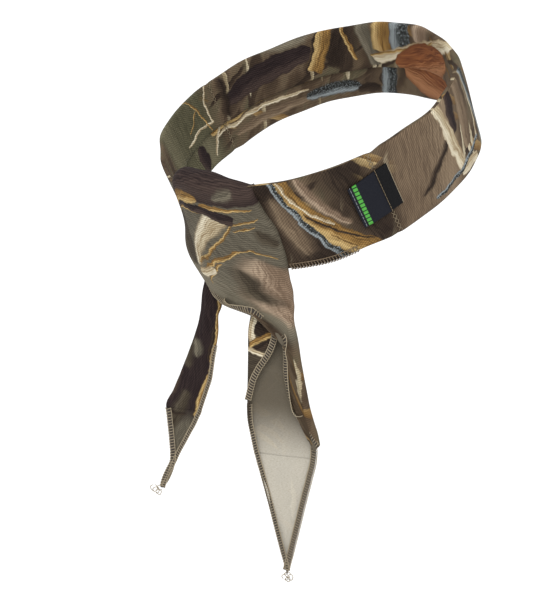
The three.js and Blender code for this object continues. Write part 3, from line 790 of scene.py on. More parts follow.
# Painted shadow: the dark brown of the shadow between a serged edge's rungs.
RUNG_SHADOW = thread_material("painted_rung_shadow", colour(30, 24, 18), colour(62, 50, 37))
SEAM_THREAD = thread_material("seam_thread", colour(96, 80, 60), colour(164, 146, 116))
BROWN_THREAD = thread_material("brown_thread", colour(84, 66, 48), colour(156, 134, 104))
NAVY = label_cloth("label_navy", colour(20, 22, 31), colour(36, 38, 50),
                   [(2.8, 5.4, colour(92, 182, 76)), (1.3, 1.6, colour(150, 154, 160))])
BLACK = label_cloth("label_black", colour(9, 9, 11), colour(22, 22, 25))
PAD = pad_material()


# ---- the knot's CAD body, and baking pieces in place ----
KNOT = "band_and_knot"


def bind_to_tail(piece):
    """Bakes the piece's placement into its mesh."""
    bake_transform(piece)


# ---- band ----
def pad_share(angle):
    """1 where the insert fills the band, 0 where it is only folded cloth."""
    return smoothstep(RIGHT_ROW_ANGLE + 0.8, RIGHT_ROW_ANGLE + 5, angle) * smoothstep(
        LEFT_ROW_ANGLE - 0.8, LEFT_ROW_ANGLE - 5, angle)


def band_grid():
    angles = np.linspace(BAND_START_ANGLE, BAND_END_ANGLE, BAND_ROWS)[:, None]
    t = np.linspace(0, 1, BAND_COLUMNS)
    padded, flat = along(np.array(PADDED_SECTION), t), along(np.array(FLAT_SECTION), t)
    pad = pad_share(angles)[..., None]
    section = flat + (padded - flat) * pad
    out, height = section[..., 0], section[..., 1]
    across = arc_lengths(padded)
    across = across - across[-1] * 0.5
    middle = across[np.argmin(np.abs(padded[:, 1]) + 9 * (padded[:, 0] < 0))]
    across = across - middle
    run = np.radians(angles) * BAND_RADIUS + 0 * out
    radius = BAND_RADIUS + out + band_give(run, height)
    height = height * (1 - 0.02 * row_pinch(angles)) + waves(run, 0 * height, BAND_EDGE_WAVES)
    height = settled(angles, height)
    return on_ring(angles + 0 * out, radius, height), np.stack([run, across + 0 * run], -1)


BAND_WAVES = [(0.7, 150, 400, 0.4), (0.45, 71, -160, 1.9), (0.3, 33, 90, 4.0)]
BAND_EDGE_WAVES = [(0.5, 120, 1e9, 1.0), (0.35, 47, 1e9, 2.6)]


# How the soft ring has settled, by angle: its lean inwards, and the rise of its top and bottom edges.
# Chosen so that its outline follows the photographed one, in that one view.
SETTLE_ANGLES = [-65, -45, -25, 0, 35, 60, 80, 95, 115, 140, 165, 190, 210, 232, 250, 261]
LEAN_IN = [0, 0, 0, 0, 0, 0, 0, 0, 0, 0, 0, 1.0, 3.4, 5.4, 4.4, 1.6]
TOP_RISE = [2.0, 2.4, 1.2, 0.2, -0.6, -1.8, -1.6, 0.2, 0.8, 0, 0, 0, -0.5, -0.8, -0.6, 0]
BOTTOM_RISE = [0, 0, 0.6, 1.2, 0.8, 0, 0.6, 2.2, 4.4, 4.6, 3.8, 2.4, 1.6, 1.0, 0.5, 0]


def by_angle(values, angle):
    """A settling table read at an angle and smoothed a little."""
    soft = sum(np.interp(angle + shift, SETTLE_ANGLES, values) for shift in (-8, -4, 0, 4, 8))
    return soft / 5


def settled(angle, height):
    """A height on the even ring, moved to where that line of the soft ring lies."""
    above = np.clip(height / HALF_WIDTH, 0, 1)
    below = np.clip(-height / HALF_WIDTH, 0, 1)
    return height + by_angle(TOP_RISE, angle) * above + by_angle(BOTTOM_RISE, angle) * below


def band_give(run, height):
    """How far the soft ring stands off its true circle."""
    lean = by_angle(LEAN_IN, np.degrees(run / BAND_RADIUS))
    return waves(run, height, BAND_WAVES) - lean * (1 - 0.35 * height / HALF_WIDTH)


def row_pinch(angle):
    """1 on a stitch row, falling to 0 about three degrees off it."""
    right = np.exp(-((angle - RIGHT_ROW_ANGLE) / 1.2) ** 2)
    left = np.exp(-((angle - LEFT_ROW_ANGLE) / 1.2) ** 2)
    return right + left


# How far across the strip its inner folds' print starts.
INNER_FROM = 29.0


def build_band():
    grid, strip = band_grid()
    band = sheet_mesh("band_strip", grid, strip, PLY, [TWILL_OUT, BACK_PLAIN, TWILL_IN_UPPER, TWILL_IN_LOWER])
    rows, cols = grid.shape[:2]
    across = (strip[0, :-1, 1] + strip[0, 1:, 1]) / 2
    kinds = np.zeros((rows - 1, cols - 1), np.int32)
    kinds[:, across > INNER_FROM] = 2
    kinds[:, across < -INNER_FROM] = 3
    all_kinds = np.zeros(len(band.data.polygons), np.int32)
    band.data.polygons.foreach_get("material_index", all_kinds)
    all_kinds[:kinds.size] = kinds.ravel()
    band.data.polygons.foreach_set("material_index", all_kinds)
    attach(band, KNOT)
    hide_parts("band_outer_panel", "band_inner_upper_fold", "band_inner_lower_fold")


# ---- knot ----
def wrap_edge(angles, standoffs, share, right):
    """One side edge of the wrap's face, in ring terms, at shares of its run from top to bottom."""
    angle = spline(angles, share)
    radius = OUTER_FACE + spline(standoffs, share)
    top = HALF_WIDTH - (3.0 if right else 1.0)
    bottom = ring_height_at(angle, radius, KNOT_LEVEL if right else FREE_EDGE_LEVEL)
    return np.stack([angle, radius, lerp(top, bottom, share)], -1)


def fold_round(angle, radius, top, sweep):
    """The turn over the band's top, from the inside to the outside."""
    centre = (radius + WRAP_BACK_RADIUS) / 2
    reach = (radius - WRAP_BACK_RADIUS) / 2
    turn = np.pi * (1 - sweep)
    return np.stack([angle + 0 * sweep, centre + reach * np.cos(turn), top + reach * np.sin(turn)], -1)


def wrap_side(right):
    """One long edge of the wrap: up the inside, over the top, down the face and on down the tail's flap."""
    angles = WRAP_RIGHT_ANGLES if right else WRAP_LEFT_ANGLES
    standoffs = WRAP_RIGHT_STANDOFFS if right else WRAP_LEFT_STANDOFFS
    top = HALF_WIDTH - (3.0 if right else 1.0)
    rise = np.linspace(0, 1, 12)[:, None]
    inside = np.concatenate([
        angles[0] + 0 * rise,
        WRAP_BACK_RADIUS - 2.5 * np.sin(np.pi * rise),
        lerp(WRAP_BACK_BOTTOM, top, rise),
    ], -1)
    fold = fold_round(float(angles[0]), OUTER_FACE + standoffs[0], top, np.linspace(0, 1, 9))
    face = wrap_edge(angles, standoffs, np.linspace(0, 1, 14), right)
    if right:
        depth = np.array([8, 23, 36, 48, 60, 70, 78, 85])
        _, edge = stations_at(RIGHT_TAIL, depth)
        closing = smoothstep(50, 88, depth)
        reach = edge - CURL_RADIUS * (1 - 0.6 * closing)
        tail = to_ring(by_tail(RIGHT_SEAT, reach, 2.6 - 1.2 * closing, depth))
    else:
        lower = np.array([0.16, 0.32, 0.46])
        corner = to_ring(by_tail(RIGHT_SEAT, np.array(-10.8), np.array(6.4), np.array(-1.5)))
        across = lerp(face[-1], corner, lower[:, None] * 1.6)
        across[:, 1] += 3.0 * np.sin(np.pi * lower)
        table = np.array(RIGHT_FLAP_EDGE, float)
        fine = spline(table, np.linspace(0, 1, 24))
        out = 3.6 + 3.2 * (1 - smoothstep(0, 34, fine[:, 0]))
        flap = to_ring(by_tail(RIGHT_SEAT, fine[:, 1], out, fine[:, 0]))
        tail = np.concatenate([across[:2], flap])
    return inside, fold, np.concatenate([face, tail]), len(face)


WRAP_INSIDE_ROWS = 26
WRAP_FOLD_ROWS = 16
WRAP_FACE_ROWS = 150
WRAP_FACE_COLUMNS = 46
CURL_COLUMNS = 7
CURL_RADIUS = 3.0
CURL_TURN = 2.6
# Turns (angle, radius, height) on the ring into lengths close to the wrap's face.
RING_METRIC = np.array([math.radians(1) * 105, 1, 1])


def even(points, count):
    """Ring points at even shares of length, with the length run and the place on the curve at each."""
    t = np.linspace(0, 1, count)
    fine_t = np.linspace(0, 1, 800)
    fine, measure = spline(points, fine_t), spline(points * RING_METRIC, fine_t)
    run = arc_lengths(measure)
    spots = np.stack([np.interp(t * run[-1], run, fine[:, k]) for k in range(3)], -1)
    return spots, t * run[-1], np.interp(t * run[-1], run, fine_t)


def wrap_rows():
    """The wrap's rows. Each has its two edge points, and at each of them the share of the arch, the way
    down the face, and the length of cloth above."""
    sides = (wrap_side(False), wrap_side(True))
    rows = []
    above = 0.0
    for part, count in enumerate((WRAP_INSIDE_ROWS, WRAP_FOLD_ROWS, WRAP_FACE_ROWS)):
        runs = [even(side[part], count) for side in sides]
        for i in range(1 if part else 0, count):
            row = []
            for side, (points, run, place) in zip(sides, runs):
                progress = place[i] * (len(side[2]) - 1) / (side[3] - 1) if part == 2 else 0.0
                fade = (i / (count - 1), 1.0, max(0.0, 1 - progress))[part]
                row.append((points[i], fade, progress, above + run[i]))
            rows.append(row)
        above = above + (runs[0][1][-1] + runs[1][1][-1]) / 2
    return rows


def curled(corner, turns, radius, sense):
    """Points round the curl of an edge, which starts at a corner of the face."""
    points = []
    for turn in turns:
        point = corner.copy()
        point[0] += sense * math.degrees(radius * math.sin(turn) / point[1])
        point[1] -= radius * (1 - math.cos(turn))
        points.append(point)
    return points


def wrap_grid():
    rows = wrap_rows()
    inside_run = rows[WRAP_INSIDE_ROWS + WRAP_FOLD_ROWS - 2][0][3]
    u = np.linspace(0, 1, WRAP_FACE_COLUMNS)
    turns = np.linspace(CURL_TURN, 0, CURL_COLUMNS + 1)[:-1]
    arch = WRAP_ARCH * np.sin(np.pi * u ** 0.6)
    grid, strip = [], []
    for i, (left, right) in enumerate(rows):
        (a, fade_a, progress_a, down_a), (b, fade_b, progress_b, down_b) = left, right
        outside = smoothstep(WRAP_INSIDE_ROWS - 1, WRAP_INSIDE_ROWS + WRAP_FOLD_ROWS - 1, i)
        progress = lerp(progress_a, progress_b, u)
        bulge = WRAP_BULGE * (1 - 0.45 * smoothstep(0.9, 1.3, progress)) * outside
        face = lerp(a[None], b[None], u[:, None])
        face[:, 1] += bulge * np.sin(np.pi * u)
        face[:, 2] += arch * lerp(fade_a, fade_b, u)
        ease = 1 - smoothstep(0.93, 1.0, progress_a) if i >= WRAP_INSIDE_ROWS else 1.0
        left_turns = turns * (0.08 + 0.92 * ease * outside)
        right_turns = turns[::-1] * (0.08 + 0.92 * outside)
        right_radius = CURL_RADIUS * (1 - 0.6 * smoothstep(1.5, 1.95, progress_b))
        left_curl = curled(face[0], left_turns, CURL_RADIUS, -1)
        right_curl = curled(face[-1], right_turns, right_radius, 1)
        columns = np.array([*left_curl, *face, *right_curl])
        x = u * (np.linalg.norm((b - a) * RING_METRIC) + 4)
        xs = np.concatenate([-CURL_RADIUS * left_turns, x, x[-1] + right_radius * right_turns])
        ys = lerp(down_a, down_b, np.clip(xs / max(x[-1], 1e-6), 0, 1)) - inside_run
        grid.append(on_ring(columns[:, 0], columns[:, 1], columns[:, 2]))
        strip.append(np.stack([xs, -ys], -1))
    return np.array(grid), np.array(strip)


def build_wrap():
    grid, strip = wrap_grid()
    normals = grid_normals(grid)
    x, y = strip[..., 0], strip[..., 1]
    grid = grid + normals * waves(x, y, WRAP_WAVES)[..., None]
    wrap = sheet_mesh("knot_wrap", grid, strip, PLY, [TWILL_WRAP, SHADED_BACK_WRAP])
    bind_to_tail(wrap)
    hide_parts("knot_front_wrap", "knot_back_wrap")
    return grid


WRAP_WAVES = [(0.35, 41, 60, 0.5), (0.25, -23, 38, 2.0)]


def neck_grid():
    """The right band end inside the knot, drawn together downwards."""
    u = np.linspace(0, 1, 24)[None, :]
    v = np.linspace(0, 1, 40)[:, None]
    angle = lerp(spline(NECK_LEFT_ANGLES, v), spline(NECK_RIGHT_ANGLES, v), u)
    radius = OUTER_FACE + lerp(spline(NECK_LEFT_STANDOFFS, v), spline(NECK_RIGHT_STANDOFFS, v), u)
    bottom = ring_height_at(angle, radius, KNOT_LEVEL + 0.4)
    height = lerp(CROSSING_TOP * HALF_WIDTH, CROSSING_BOTTOM * HALF_WIDTH, np.clip(v / 0.66, 0, 1))
    height = lerp(height, bottom, smoothstep(0.45, 1.0, v))
    run = np.radians(angle) * BAND_RADIUS
    return on_ring(angle, radius, height), np.stack([run + 0 * height, height], -1)


def build_crossing(name, grid, strip, node):
    piece = sheet_mesh(name, grid, strip, PLY, [TWILL_OUT, TWILL_OUT])
    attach(piece, KNOT)
    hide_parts(node)


def build_crossings():
    build_crossing("knot_right_crossing_cloth", *neck_grid(), "knot_right_crossing")
    angle, share = np.meshgrid(np.linspace(-92, -66, 24), np.linspace(-0.9, 0.9, 20), indexing="ij")
    grid = on_ring(angle, LEFT_CROSSING_RADIUS + 0 * angle, share * HALF_WIDTH)
    strip = np.stack([np.radians(angle) * BAND_RADIUS, share * HALF_WIDTH], -1)
    build_crossing("knot_left_crossing_cloth", grid, strip, "knot_left_crossing")


# ---- tails ----
def section_points(keys, counts):
    """Even points on a tail's smooth sections, a fixed number between each pair of (reach, out) keys."""
    keys = np.array([np.stack(np.broadcast_arrays(a, b), -1) for a, b in keys])
    shares = [np.linspace(i, i + 1, n, endpoint=False) for i, n in enumerate(counts)]
    shares = np.concatenate(shares + [[len(counts)]])
    return spline(keys, shares / len(counts))


def tail_rows(bottom, bend, above, below):
    """Depths of a tail's rows, with one row exactly at its bend."""
    return np.concatenate([np.linspace(-8, bend, above), np.linspace(bend, bottom, below)[1:]])


def lengths_across(points):
    """The length of cloth from each section's first point to its other points."""
    steps = np.hypot(*np.diff(points, axis=0).T).T
    return np.concatenate([[np.zeros(points.shape[1])], np.cumsum(steps, axis=0)]).T


TAIL_WAVES = [(0.6, 60, 90, 0.2), (0.3, 31, -44, 1.0)]


def right_tail_grid():
    depth = tail_rows(RIGHT_TAIL[-1][0], RIGHT_BEND_DEPTH, 90, 76)
    left, right = stations_at(RIGHT_TAIL, depth)
    (flap,) = stations_at(LEFT_FLAP_EDGE, depth)
    flap = np.where(depth > 60, left + 0.8, np.maximum(flap, left + 0.8))
    open_share = 1 - smoothstep(60, 100, depth)
    belly = 1.0 + 2.6 * open_share
    turn = np.minimum((flap - left), 3.0)
    middle = (left + right) / 2
    tip = np.clip((right - left) / 12, 0.15, 1)
    keys = [
        (flap, 1.6 * open_share + 0.5 * tip),
        (lerp(left, flap, 0.5), 2.2 * open_share + 0.4 * tip),
        (left + 0.35 * turn, 1.5 * open_share + 0.2 * tip),
        (left, 0.2 * open_share),
        (left + np.minimum(0.6, 0.02 * (right - left)), -1.0 * open_share),
        (lerp(left, right, 0.25), -0.8 * belly * tip),
        (middle, -belly * tip),
        (lerp(left, right, 0.75), -0.8 * belly * tip),
        (right - 0.5 * tip, -0.3 * belly * tip),
    ]
    points = section_points(keys, [6, 6, 3, 3, 6, 8, 8, 8])
    reach, out = points[..., 0].T, points[..., 1].T
    drift = waves(reach, depth[:, None], TAIL_WAVES) * np.clip((depth[:, None] + 5) / 40, 0, 1)
    drift = drift - 4.0 * (1 - smoothstep(0, 14, depth))[:, None]
    grid = by_tail(RIGHT_SEAT, reach, out + drift, depth[:, None] + 0 * reach)
    run = lengths_across(points)
    strip = np.stack([run - (flap - left)[:, None], -depth[:, None] + 0 * run], -1)
    return grid, strip, depth


def left_tail_grid():
    depth = tail_rows(LEFT_TAIL[-1][0], LEFT_BEND_DEPTH, 74, 52)
    left, right = stations_at(LEFT_TAIL, depth)
    tip = np.clip((right - left) / 10, 0.12, 1)
    gap = (1.0 - 0.75 * smoothstep(55, 95, depth)) * tip
    fold = np.minimum(2.2, 0.25 * (right - left))
    crease = lerp(left, right, 0.30 + 0.25 * smoothstep(0, 60, depth))
    rise = 1.8 * (1 - smoothstep(35, 75, depth)) * tip
    keys = [
        (right + 0.1 - 1.8 * tip, -gap),
        (lerp(left, right, 0.5), -gap * 1.1),
        (left + 0.8 * fold, -gap),
        (left, 0 * gap),
        (left + 0.8 * fold, gap),
        (crease, gap + rise),
        (lerp(crease, right, 0.5), gap + 0.35 * rise),
        (right, gap * 0.8),
    ]
    points = section_points(keys, [6, 8, 3, 3, 6, 7, 7])
    reach, out = points[..., 0].T, points[..., 1].T
    grid = by_tail(LEFT_SEAT, reach, out, depth[:, None] + 0 * reach)
    run = lengths_across(points)
    strip = np.stack([run - run[:, -1:], -depth[:, None] + 0 * run], -1)
    return grid, strip, depth


# A tail's lower half starts a little behind the end of its upper half, so no gap shows at the bend.
LAP_ROWS = 3
LAP_DROP = 0.15


def build_tail(side, grid, strip, depth, bend, materials, slot):
    row = int(np.argmin(np.abs(depth - bend)))
    for half, rows in (("upper", slice(0, row + 1)), ("lower", slice(row + 1 - LAP_ROWS, None))):
        points = grid[rows].copy()
        if half == "lower":
            points[:LAP_ROWS] -= LAP_DROP * tail_face()
        piece = sheet_mesh(f"{side}_tail_{half}_cloth", points, strip[rows], PLY, materials)
        bind_to_tail(piece)
        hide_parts(f"{side}_tail_{half}")


# ---- threads ----
LADDER_PITCH = 1.75
WIDE_PITCH = 1.9
WRAP_LADDER_WIDTH = 3.4


def overlock(name, edge, inward, face, width, pitch, material):
    """A serged edge: rungs over the cut edge, a rail inside them and a knotted chain along the edge."""
    run = arc_lengths(edge)
    count = max(3, int(run[-1] / pitch))

    def at(values, s):
        return np.stack([np.interp(s, run, values[:, k]) for k in range(3)], -1)

    lean = 0.35 * pitch
    steps = np.array([-lean, -0.3 * lean, 0.2 * lean, 0.4 * lean, 0.3 * lean])
    near = np.array([-0.2, -0.1, 0, 0.1, 0.2])
    away = np.array([width, 0.55 * width, 0.08 * width, -0.45, -0.2])[:, None]
    rise = np.array([0.62, 0.80, 0.72, 0.1, -0.55])[:, None]
    tubes = []
    for i, s in enumerate((np.arange(count) + 0.5) * run[-1] / count):
        spots = np.clip(s + steps, 0, run[-1])
        base, inner, normal = at(edge, spots), unit(at(inward, spots)), unit(at(face, spots))
        across = unit(np.gradient(at(edge, np.clip(spots + near, 0, run[-1])), axis=0))
        tubes.append((base + inner * away + normal * rise, across, 0.27 + 0.03 * math.sin(i * 2.4)))
    s = np.linspace(0, run[-1], count * 4)
    base, inner, normal = at(edge, s), unit(at(inward, s)), unit(at(face, s))
    wiggle = np.sin(np.arange(len(s)) * np.pi / 2)[:, None]
    rail = base + inner * (width + 0.1 * wiggle) + normal * (0.72 + 0.12 * wiggle)
    chain = base - inner * (0.35 + 0.22 * wiggle) + normal * (0.28 * wiggle)
    tubes += [(rail, normal, 0.26), (chain, normal, 0.3)]
    piece = tubes_mesh(name, tubes, material)
    return piece


def tail_face():
    return np.array([math.sin(TAIL_AZIMUTH), -math.cos(TAIL_AZIMUTH), 0.0])


def rung_shadow_strip(name, edge, inward, face, width):
    """A dark strip of painted shadow under a serged edge's rungs, showing in the gaps between them."""
    across = np.linspace(0.1, width - 0.1, 6)
    grid = edge[:, None] + unit(inward)[:, None] * across[None, :, None] + unit(face)[:, None] * 0.56
    strip = np.stack(np.broadcast_arrays(across[None, :], arc_lengths(edge)[:, None]), -1)
    piece = sheet_mesh(name, grid, strip, 0.14, [RUNG_SHADOW, RUNG_SHADOW])
    return piece


def seat_of(side):
    return RIGHT_SEAT if side == "right" else LEFT_SEAT


def tail_edge_overlock(name, side, half, table, column, depths, sense, out, width, pitch=LADDER_PITCH):
    """A serged edge down one outline of a tail, from one depth to another."""
    depth = np.linspace(*depths, max(8, int(abs(depths[1] - depths[0]) / 1.5)))
    edge = by_tail(seat_of(side), stations_at(table, depth)[column], out + 0 * depth, depth)
    face = np.broadcast_to(tail_face(), edge.shape)
    inward = np.cross(unit(np.gradient(edge, axis=0)), face)
    along_tail = np.array([math.cos(TAIL_AZIMUTH), math.sin(TAIL_AZIMUTH), 0])
    inward = inward * np.sign(np.sum(inward[0] * along_tail)) * sense
    piece = overlock(name, edge, inward, face, width, pitch, TAN_THREAD)
    bind_to_tail(piece)
    # Painted shadow: a dark strip under the rungs.
    bind_to_tail(rung_shadow_strip(name + "_rung_shadow", edge, inward, face, width))
    return piece


def chain_loops(name, side, place, loops):
    """The loose tail of the overlock's thread chain: a few small open loops."""
    tubes = []
    for reach, depth, out, radius, turn in loops:
        t = np.linspace(0, 2 * np.pi * 0.92, 22) + turn
        points = by_tail(seat_of(side), place[0] + reach + radius * np.cos(t), out + 0.6 * np.sin(2 * t),
                         place[1] + depth + radius * np.sin(t))
        tubes.append((points, np.broadcast_to(tail_face(), points.shape), 0.27))
    piece = tubes_mesh(name, tubes, TAN_THREAD)
    bind_to_tail(piece)
    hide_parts(f"{side}_tip_thread_chain")


def build_wrap_stitches(wrap_points):
    """The serged edge of the wrap and of the tail flap that it runs on into."""
    rows = np.arange(WRAP_INSIDE_ROWS + WRAP_FOLD_ROWS - 1, wrap_points.shape[0])
    edge = wrap_points[:, 0]
    face = grid_normals(wrap_points)[:, CURL_COLUMNS + 2]
    face = face * np.sign(face @ tail_face())[:, None]
    face = unit(np.stack([np.convolve(face[:, k], np.ones(9) / 9, "same") for k in range(3)], -1))
    inward = unit(np.cross(face, unit(np.gradient(edge, axis=0))))
    up_and_right = np.array([math.cos(TAIL_AZIMUTH), math.sin(TAIL_AZIMUTH), 1.0])
    inward = inward * np.sign(inward @ up_and_right)[:, None]
    corner = next(i for i in rows if i > rows[0] + 20 and edge[i, 2] < FREE_EDGE_LEVEL + 1.2)
    turn = next(i for i in rows if i > corner and edge[i, 2] < TAIL_TOP - 4.0)
    for name, part, node in (
        ("wrap_edge_stitches", slice(corner, turn + 1), "knot_edge_overlock"),
        ("right_flap_stitches", slice(turn, None), "right_tail_right_flap_overlock"),
    ):
        run = edge[part], inward[part], face[part]
        piece = overlock(name, *run, WRAP_LADDER_WIDTH, LADDER_PITCH, TAN_THREAD)
        bind_to_tail(piece)
        # Painted shadow: a dark strip under the rungs.
        bind_to_tail(rung_shadow_strip(name + "_rung_shadow", *run, WRAP_LADDER_WIDTH))
        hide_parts(node)


# A tail's serged edges: name, half, outline, its column, from and to which depth, which way is inwards,
# how far out the edge lies, the ladder's width and the CAD node it replaces.
RIGHT_TAIL_STITCHES = [
    ("left_flap_stitches", "upper", LEFT_FLAP_EDGE, 0, (13, 57), -1, 3.0, 3.0,
     "right_tail_left_flap_overlock"),
    ("right_tail_left_edge_stitches", "upper", RIGHT_TAIL, 0, (60, RIGHT_BEND_DEPTH), 1, 0.6, 2.6, None),
    ("right_point_left_stitches", "lower", RIGHT_TAIL, 0, (RIGHT_BEND_DEPTH, 172), 1, 0.3, 2.6,
     "right_point_left_overlock"),
    ("right_tail_right_edge_stitches", "upper", RIGHT_TAIL, 1, (84, RIGHT_BEND_DEPTH), -1, 0.6, 3.4, None),
    ("right_point_right_stitches", "lower", RIGHT_TAIL, 1, (RIGHT_BEND_DEPTH, 172), -1, 0.3, 3.4,
     "right_point_right_overlock"),
]
LEFT_TAIL_STITCHES = [
    ("left_point_left_stitches", "lower", LEFT_TAIL, 0, (LEFT_BEND_DEPTH, 137), 1, 0.8, 3.2,
     "left_point_left_overlock"),
    ("left_point_right_stitches", "lower", LEFT_TAIL, 1, (LEFT_BEND_DEPTH, 137), -1, 0.6, 2.0,
     "left_point_right_overlock"),
    ("left_tail_edge_stitches", "upper", LEFT_TAIL, 1, (34, LEFT_BEND_DEPTH), -1, 0.8, 1.8, None),
]
# Loops of the thread chain at each tip: reach, depth, out, radius and where the loop opens.
RIGHT_LOOPS = [(0, -0.5, 0.2, 1.9, 0.4), (-1.4, 1.2, 0.6, 2.1, 2.2), (1.6, 1.6, -0.4, 1.9, 4.0),
               (0.2, 3.0, 0.1, 1.5, 5.0)]
LEFT_LOOPS = [(0, -1.0, 0.3, 1.7, 0.4), (-2.4, 0.8, 0.7, 2.2, 2.2), (-1.0, 2.6, -0.3, 1.8, 3.4),
              (-4.2, -0.2, 0.1, 2.4, 5.0)]


def build_tail_stitches():
    for side, table in (("right", RIGHT_TAIL_STITCHES), ("left", LEFT_TAIL_STITCHES)):
        for name, half, *sizes, node in table:
            pitch = WIDE_PITCH if name == "left_point_left_stitches" else LADDER_PITCH
            piece = tail_edge_overlock(name, side, half, *sizes, pitch)
            if node:
                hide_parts(node)
    chain_loops("right_tip_loops", "right", (10.9, 175.5), RIGHT_LOOPS)
    chain_loops("left_tip_loops", "left", (-38.6, 139.5), LEFT_LOOPS)


def band_face(run, height):
    """The radius of the band's outer surface by its stitch rows."""
    return BAND_RADIUS + 2.2 + PLY / 2 + band_give(run, height)


ROW_LEAN = -0.09
CROSS_THREAD = 0.19
STRAIGHT_THREAD = 0.17
ABOVE_LABEL = 1.0


def row_threads(name, middle, lean, crosses, straights, outside, node):
    """A row across the band: crossed stitches, and plain ones where the label lies over it."""
    tubes = []
    for low, high in crosses:
        count = max(2, round((high - low) / 3.4))
        for i in range(count):
            for sign in (-1, 1):
                t = np.linspace(0, 1, 6)
                h = lerp(low, high, (i + t) / count)
                run = middle + lean * h + sign * lerp(-1.2, 1.2, t)
                tubes.append((run, h, CROSS_THREAD))
    for low, high in straights:
        count = max(2, round((high - low) / 2.2))
        for i in range(count):
            t = np.linspace(0.08, 0.92, 5)
            h = lerp(low, high, (i + t) / count)
            tubes.append((middle + lean * h, h, STRAIGHT_THREAD))
    made = []
    for run, h, thick in tubes:
        t = np.linspace(0, 1, len(h))
        angle = np.degrees(run / BAND_RADIUS)
        hump = 0.25 * np.sin(np.pi * t)
        if outside:
            radius = band_face(run, h) + (0.1 if thick == CROSS_THREAD else ABOVE_LABEL) + hump
        else:
            radius = BAND_RADIUS + band_give(run, h) - hump
        made.append((on_ring(angle, radius, settled(angle, h)), on_ring(angle, 1 + 0 * h, 0 * h), thick))
    piece = tubes_mesh(name, made, SEAM_THREAD)
    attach(piece, KNOT)
    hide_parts(node)


RIGHT_ROW_MIDDLE = math.radians(RIGHT_ROW_ANGLE) * BAND_RADIUS
LEFT_ROW_MIDDLE = math.radians(LEFT_ROW_ANGLE) * BAND_RADIUS


# A short run beside the row where a hinge line for each label leaf is worked out but not used: from and to
# how far from it, and at what height.
HINGE_BAND = [0.6, 3.2]
HINGE_HEIGHT = 3.0


def label_piece(name, from_row, to, low, high, lift, material, node):
    """A label leaf beside the stitch row: low and high edges are given at the row and at its free end."""
    u = np.linspace(0, 1, 22)[:, None]
    v = np.linspace(0, 1, 26)[None, :]
    height = lerp(lerp(low[0], low[1], u), lerp(high[0], high[1], u), v)
    run = RIGHT_ROW_MIDDLE + lerp(from_row, to, u) + ROW_LEAN * height
    rise = 0.65 + lift * u ** 2 * (0.75 + 0.25 * np.sin(np.pi * v + 0.6))
    radius = band_face(run, height) + rise
    angle = np.degrees(run / BAND_RADIUS)
    grid = on_ring(angle, radius, settled(angle, height))
    strip = np.stack(np.broadcast_arrays(abs(to) - np.abs(lerp(from_row, to, u)), height), -1)
    if to < 0:
        grid, strip = grid[::-1], strip[::-1]
    piece = sheet_mesh(name, grid, strip, 0.5, [material, material])
    hinge = RIGHT_ROW_MIDDLE + ROW_LEAN * HINGE_HEIGHT + math.copysign(1.0, to) * np.array(HINGE_BAND)
    angle = np.degrees(hinge / BAND_RADIUS)
    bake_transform(piece)
    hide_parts(node)
    return grid


def build_label():
    label_piece("label_flap_cloth", -0.3, -18.2, (-12.0, -14.0), (16.2, 13.0), 1.1, NAVY, "label_flap")
    grid = label_piece("label_tab_cloth", 0.3, 7.6, (-11.6, -10.2), (16.4, 17.8), 0.5, BLACK, "label_tab")
    edge = grid[-1] + (grid[-1] - grid[-2]) * 0.3
    across = unit(np.gradient(edge, axis=0))[:, [1, 2, 0]]
    piece = tubes_mesh("label_tab_edge_thread", [(edge, across, 0.24)], TAN_THREAD)
    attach(piece, "label_tab")


# Rows of stitching: name, middle, lean, where crossed, where plain, whether outside, CAD node.
STITCH_ROWS = [
    ("right_row_stitches", RIGHT_ROW_MIDDLE, ROW_LEAN, [(17.5, 27), (-26.5, -13)], [(-12.5, 17)], True,
     "right_row_needle_thread"),
    ("right_row_loops", RIGHT_ROW_MIDDLE, ROW_LEAN, [(-26, 26)], [], False, "right_row_looper_thread"),
    ("left_row_stitches", LEFT_ROW_MIDDLE, 0.0, [(-26.5, 26.5)], [], True, "left_row_needle_thread"),
    ("left_row_loops", LEFT_ROW_MIDDLE, 0.0, [(-26, 26)], [], False, "left_row_looper_thread"),
]


def build_row_stitches():
    for row in STITCH_ROWS:
        row_threads(*row)


def build_band_edge_stitches():
    angle = np.linspace(-58, -34, 40)
    run = np.radians(angle) * BAND_RADIUS
    height = settled(angle, waves(run, 0 * run, BAND_EDGE_WAVES) - HALF_WIDTH)
    edge = on_ring(angle, band_face(run, -27.0) - 0.6, height + 0.1)
    inward = on_ring(angle, 0 * angle, 1 + 0 * angle)
    face = on_ring(angle, 1 + 0 * angle, 0 * angle)
    piece = overlock("band_edge_stitches", edge, inward, face, 3.6, 1.8, BROWN_THREAD)
    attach(piece, KNOT)
    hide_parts("band_edge_overlock")


# ---- pad inside the band ----
SWELL_LIMIT = 0.5 * MM
SWELL_PRESSURE = 4.0
SWELL_FRAMES = 20


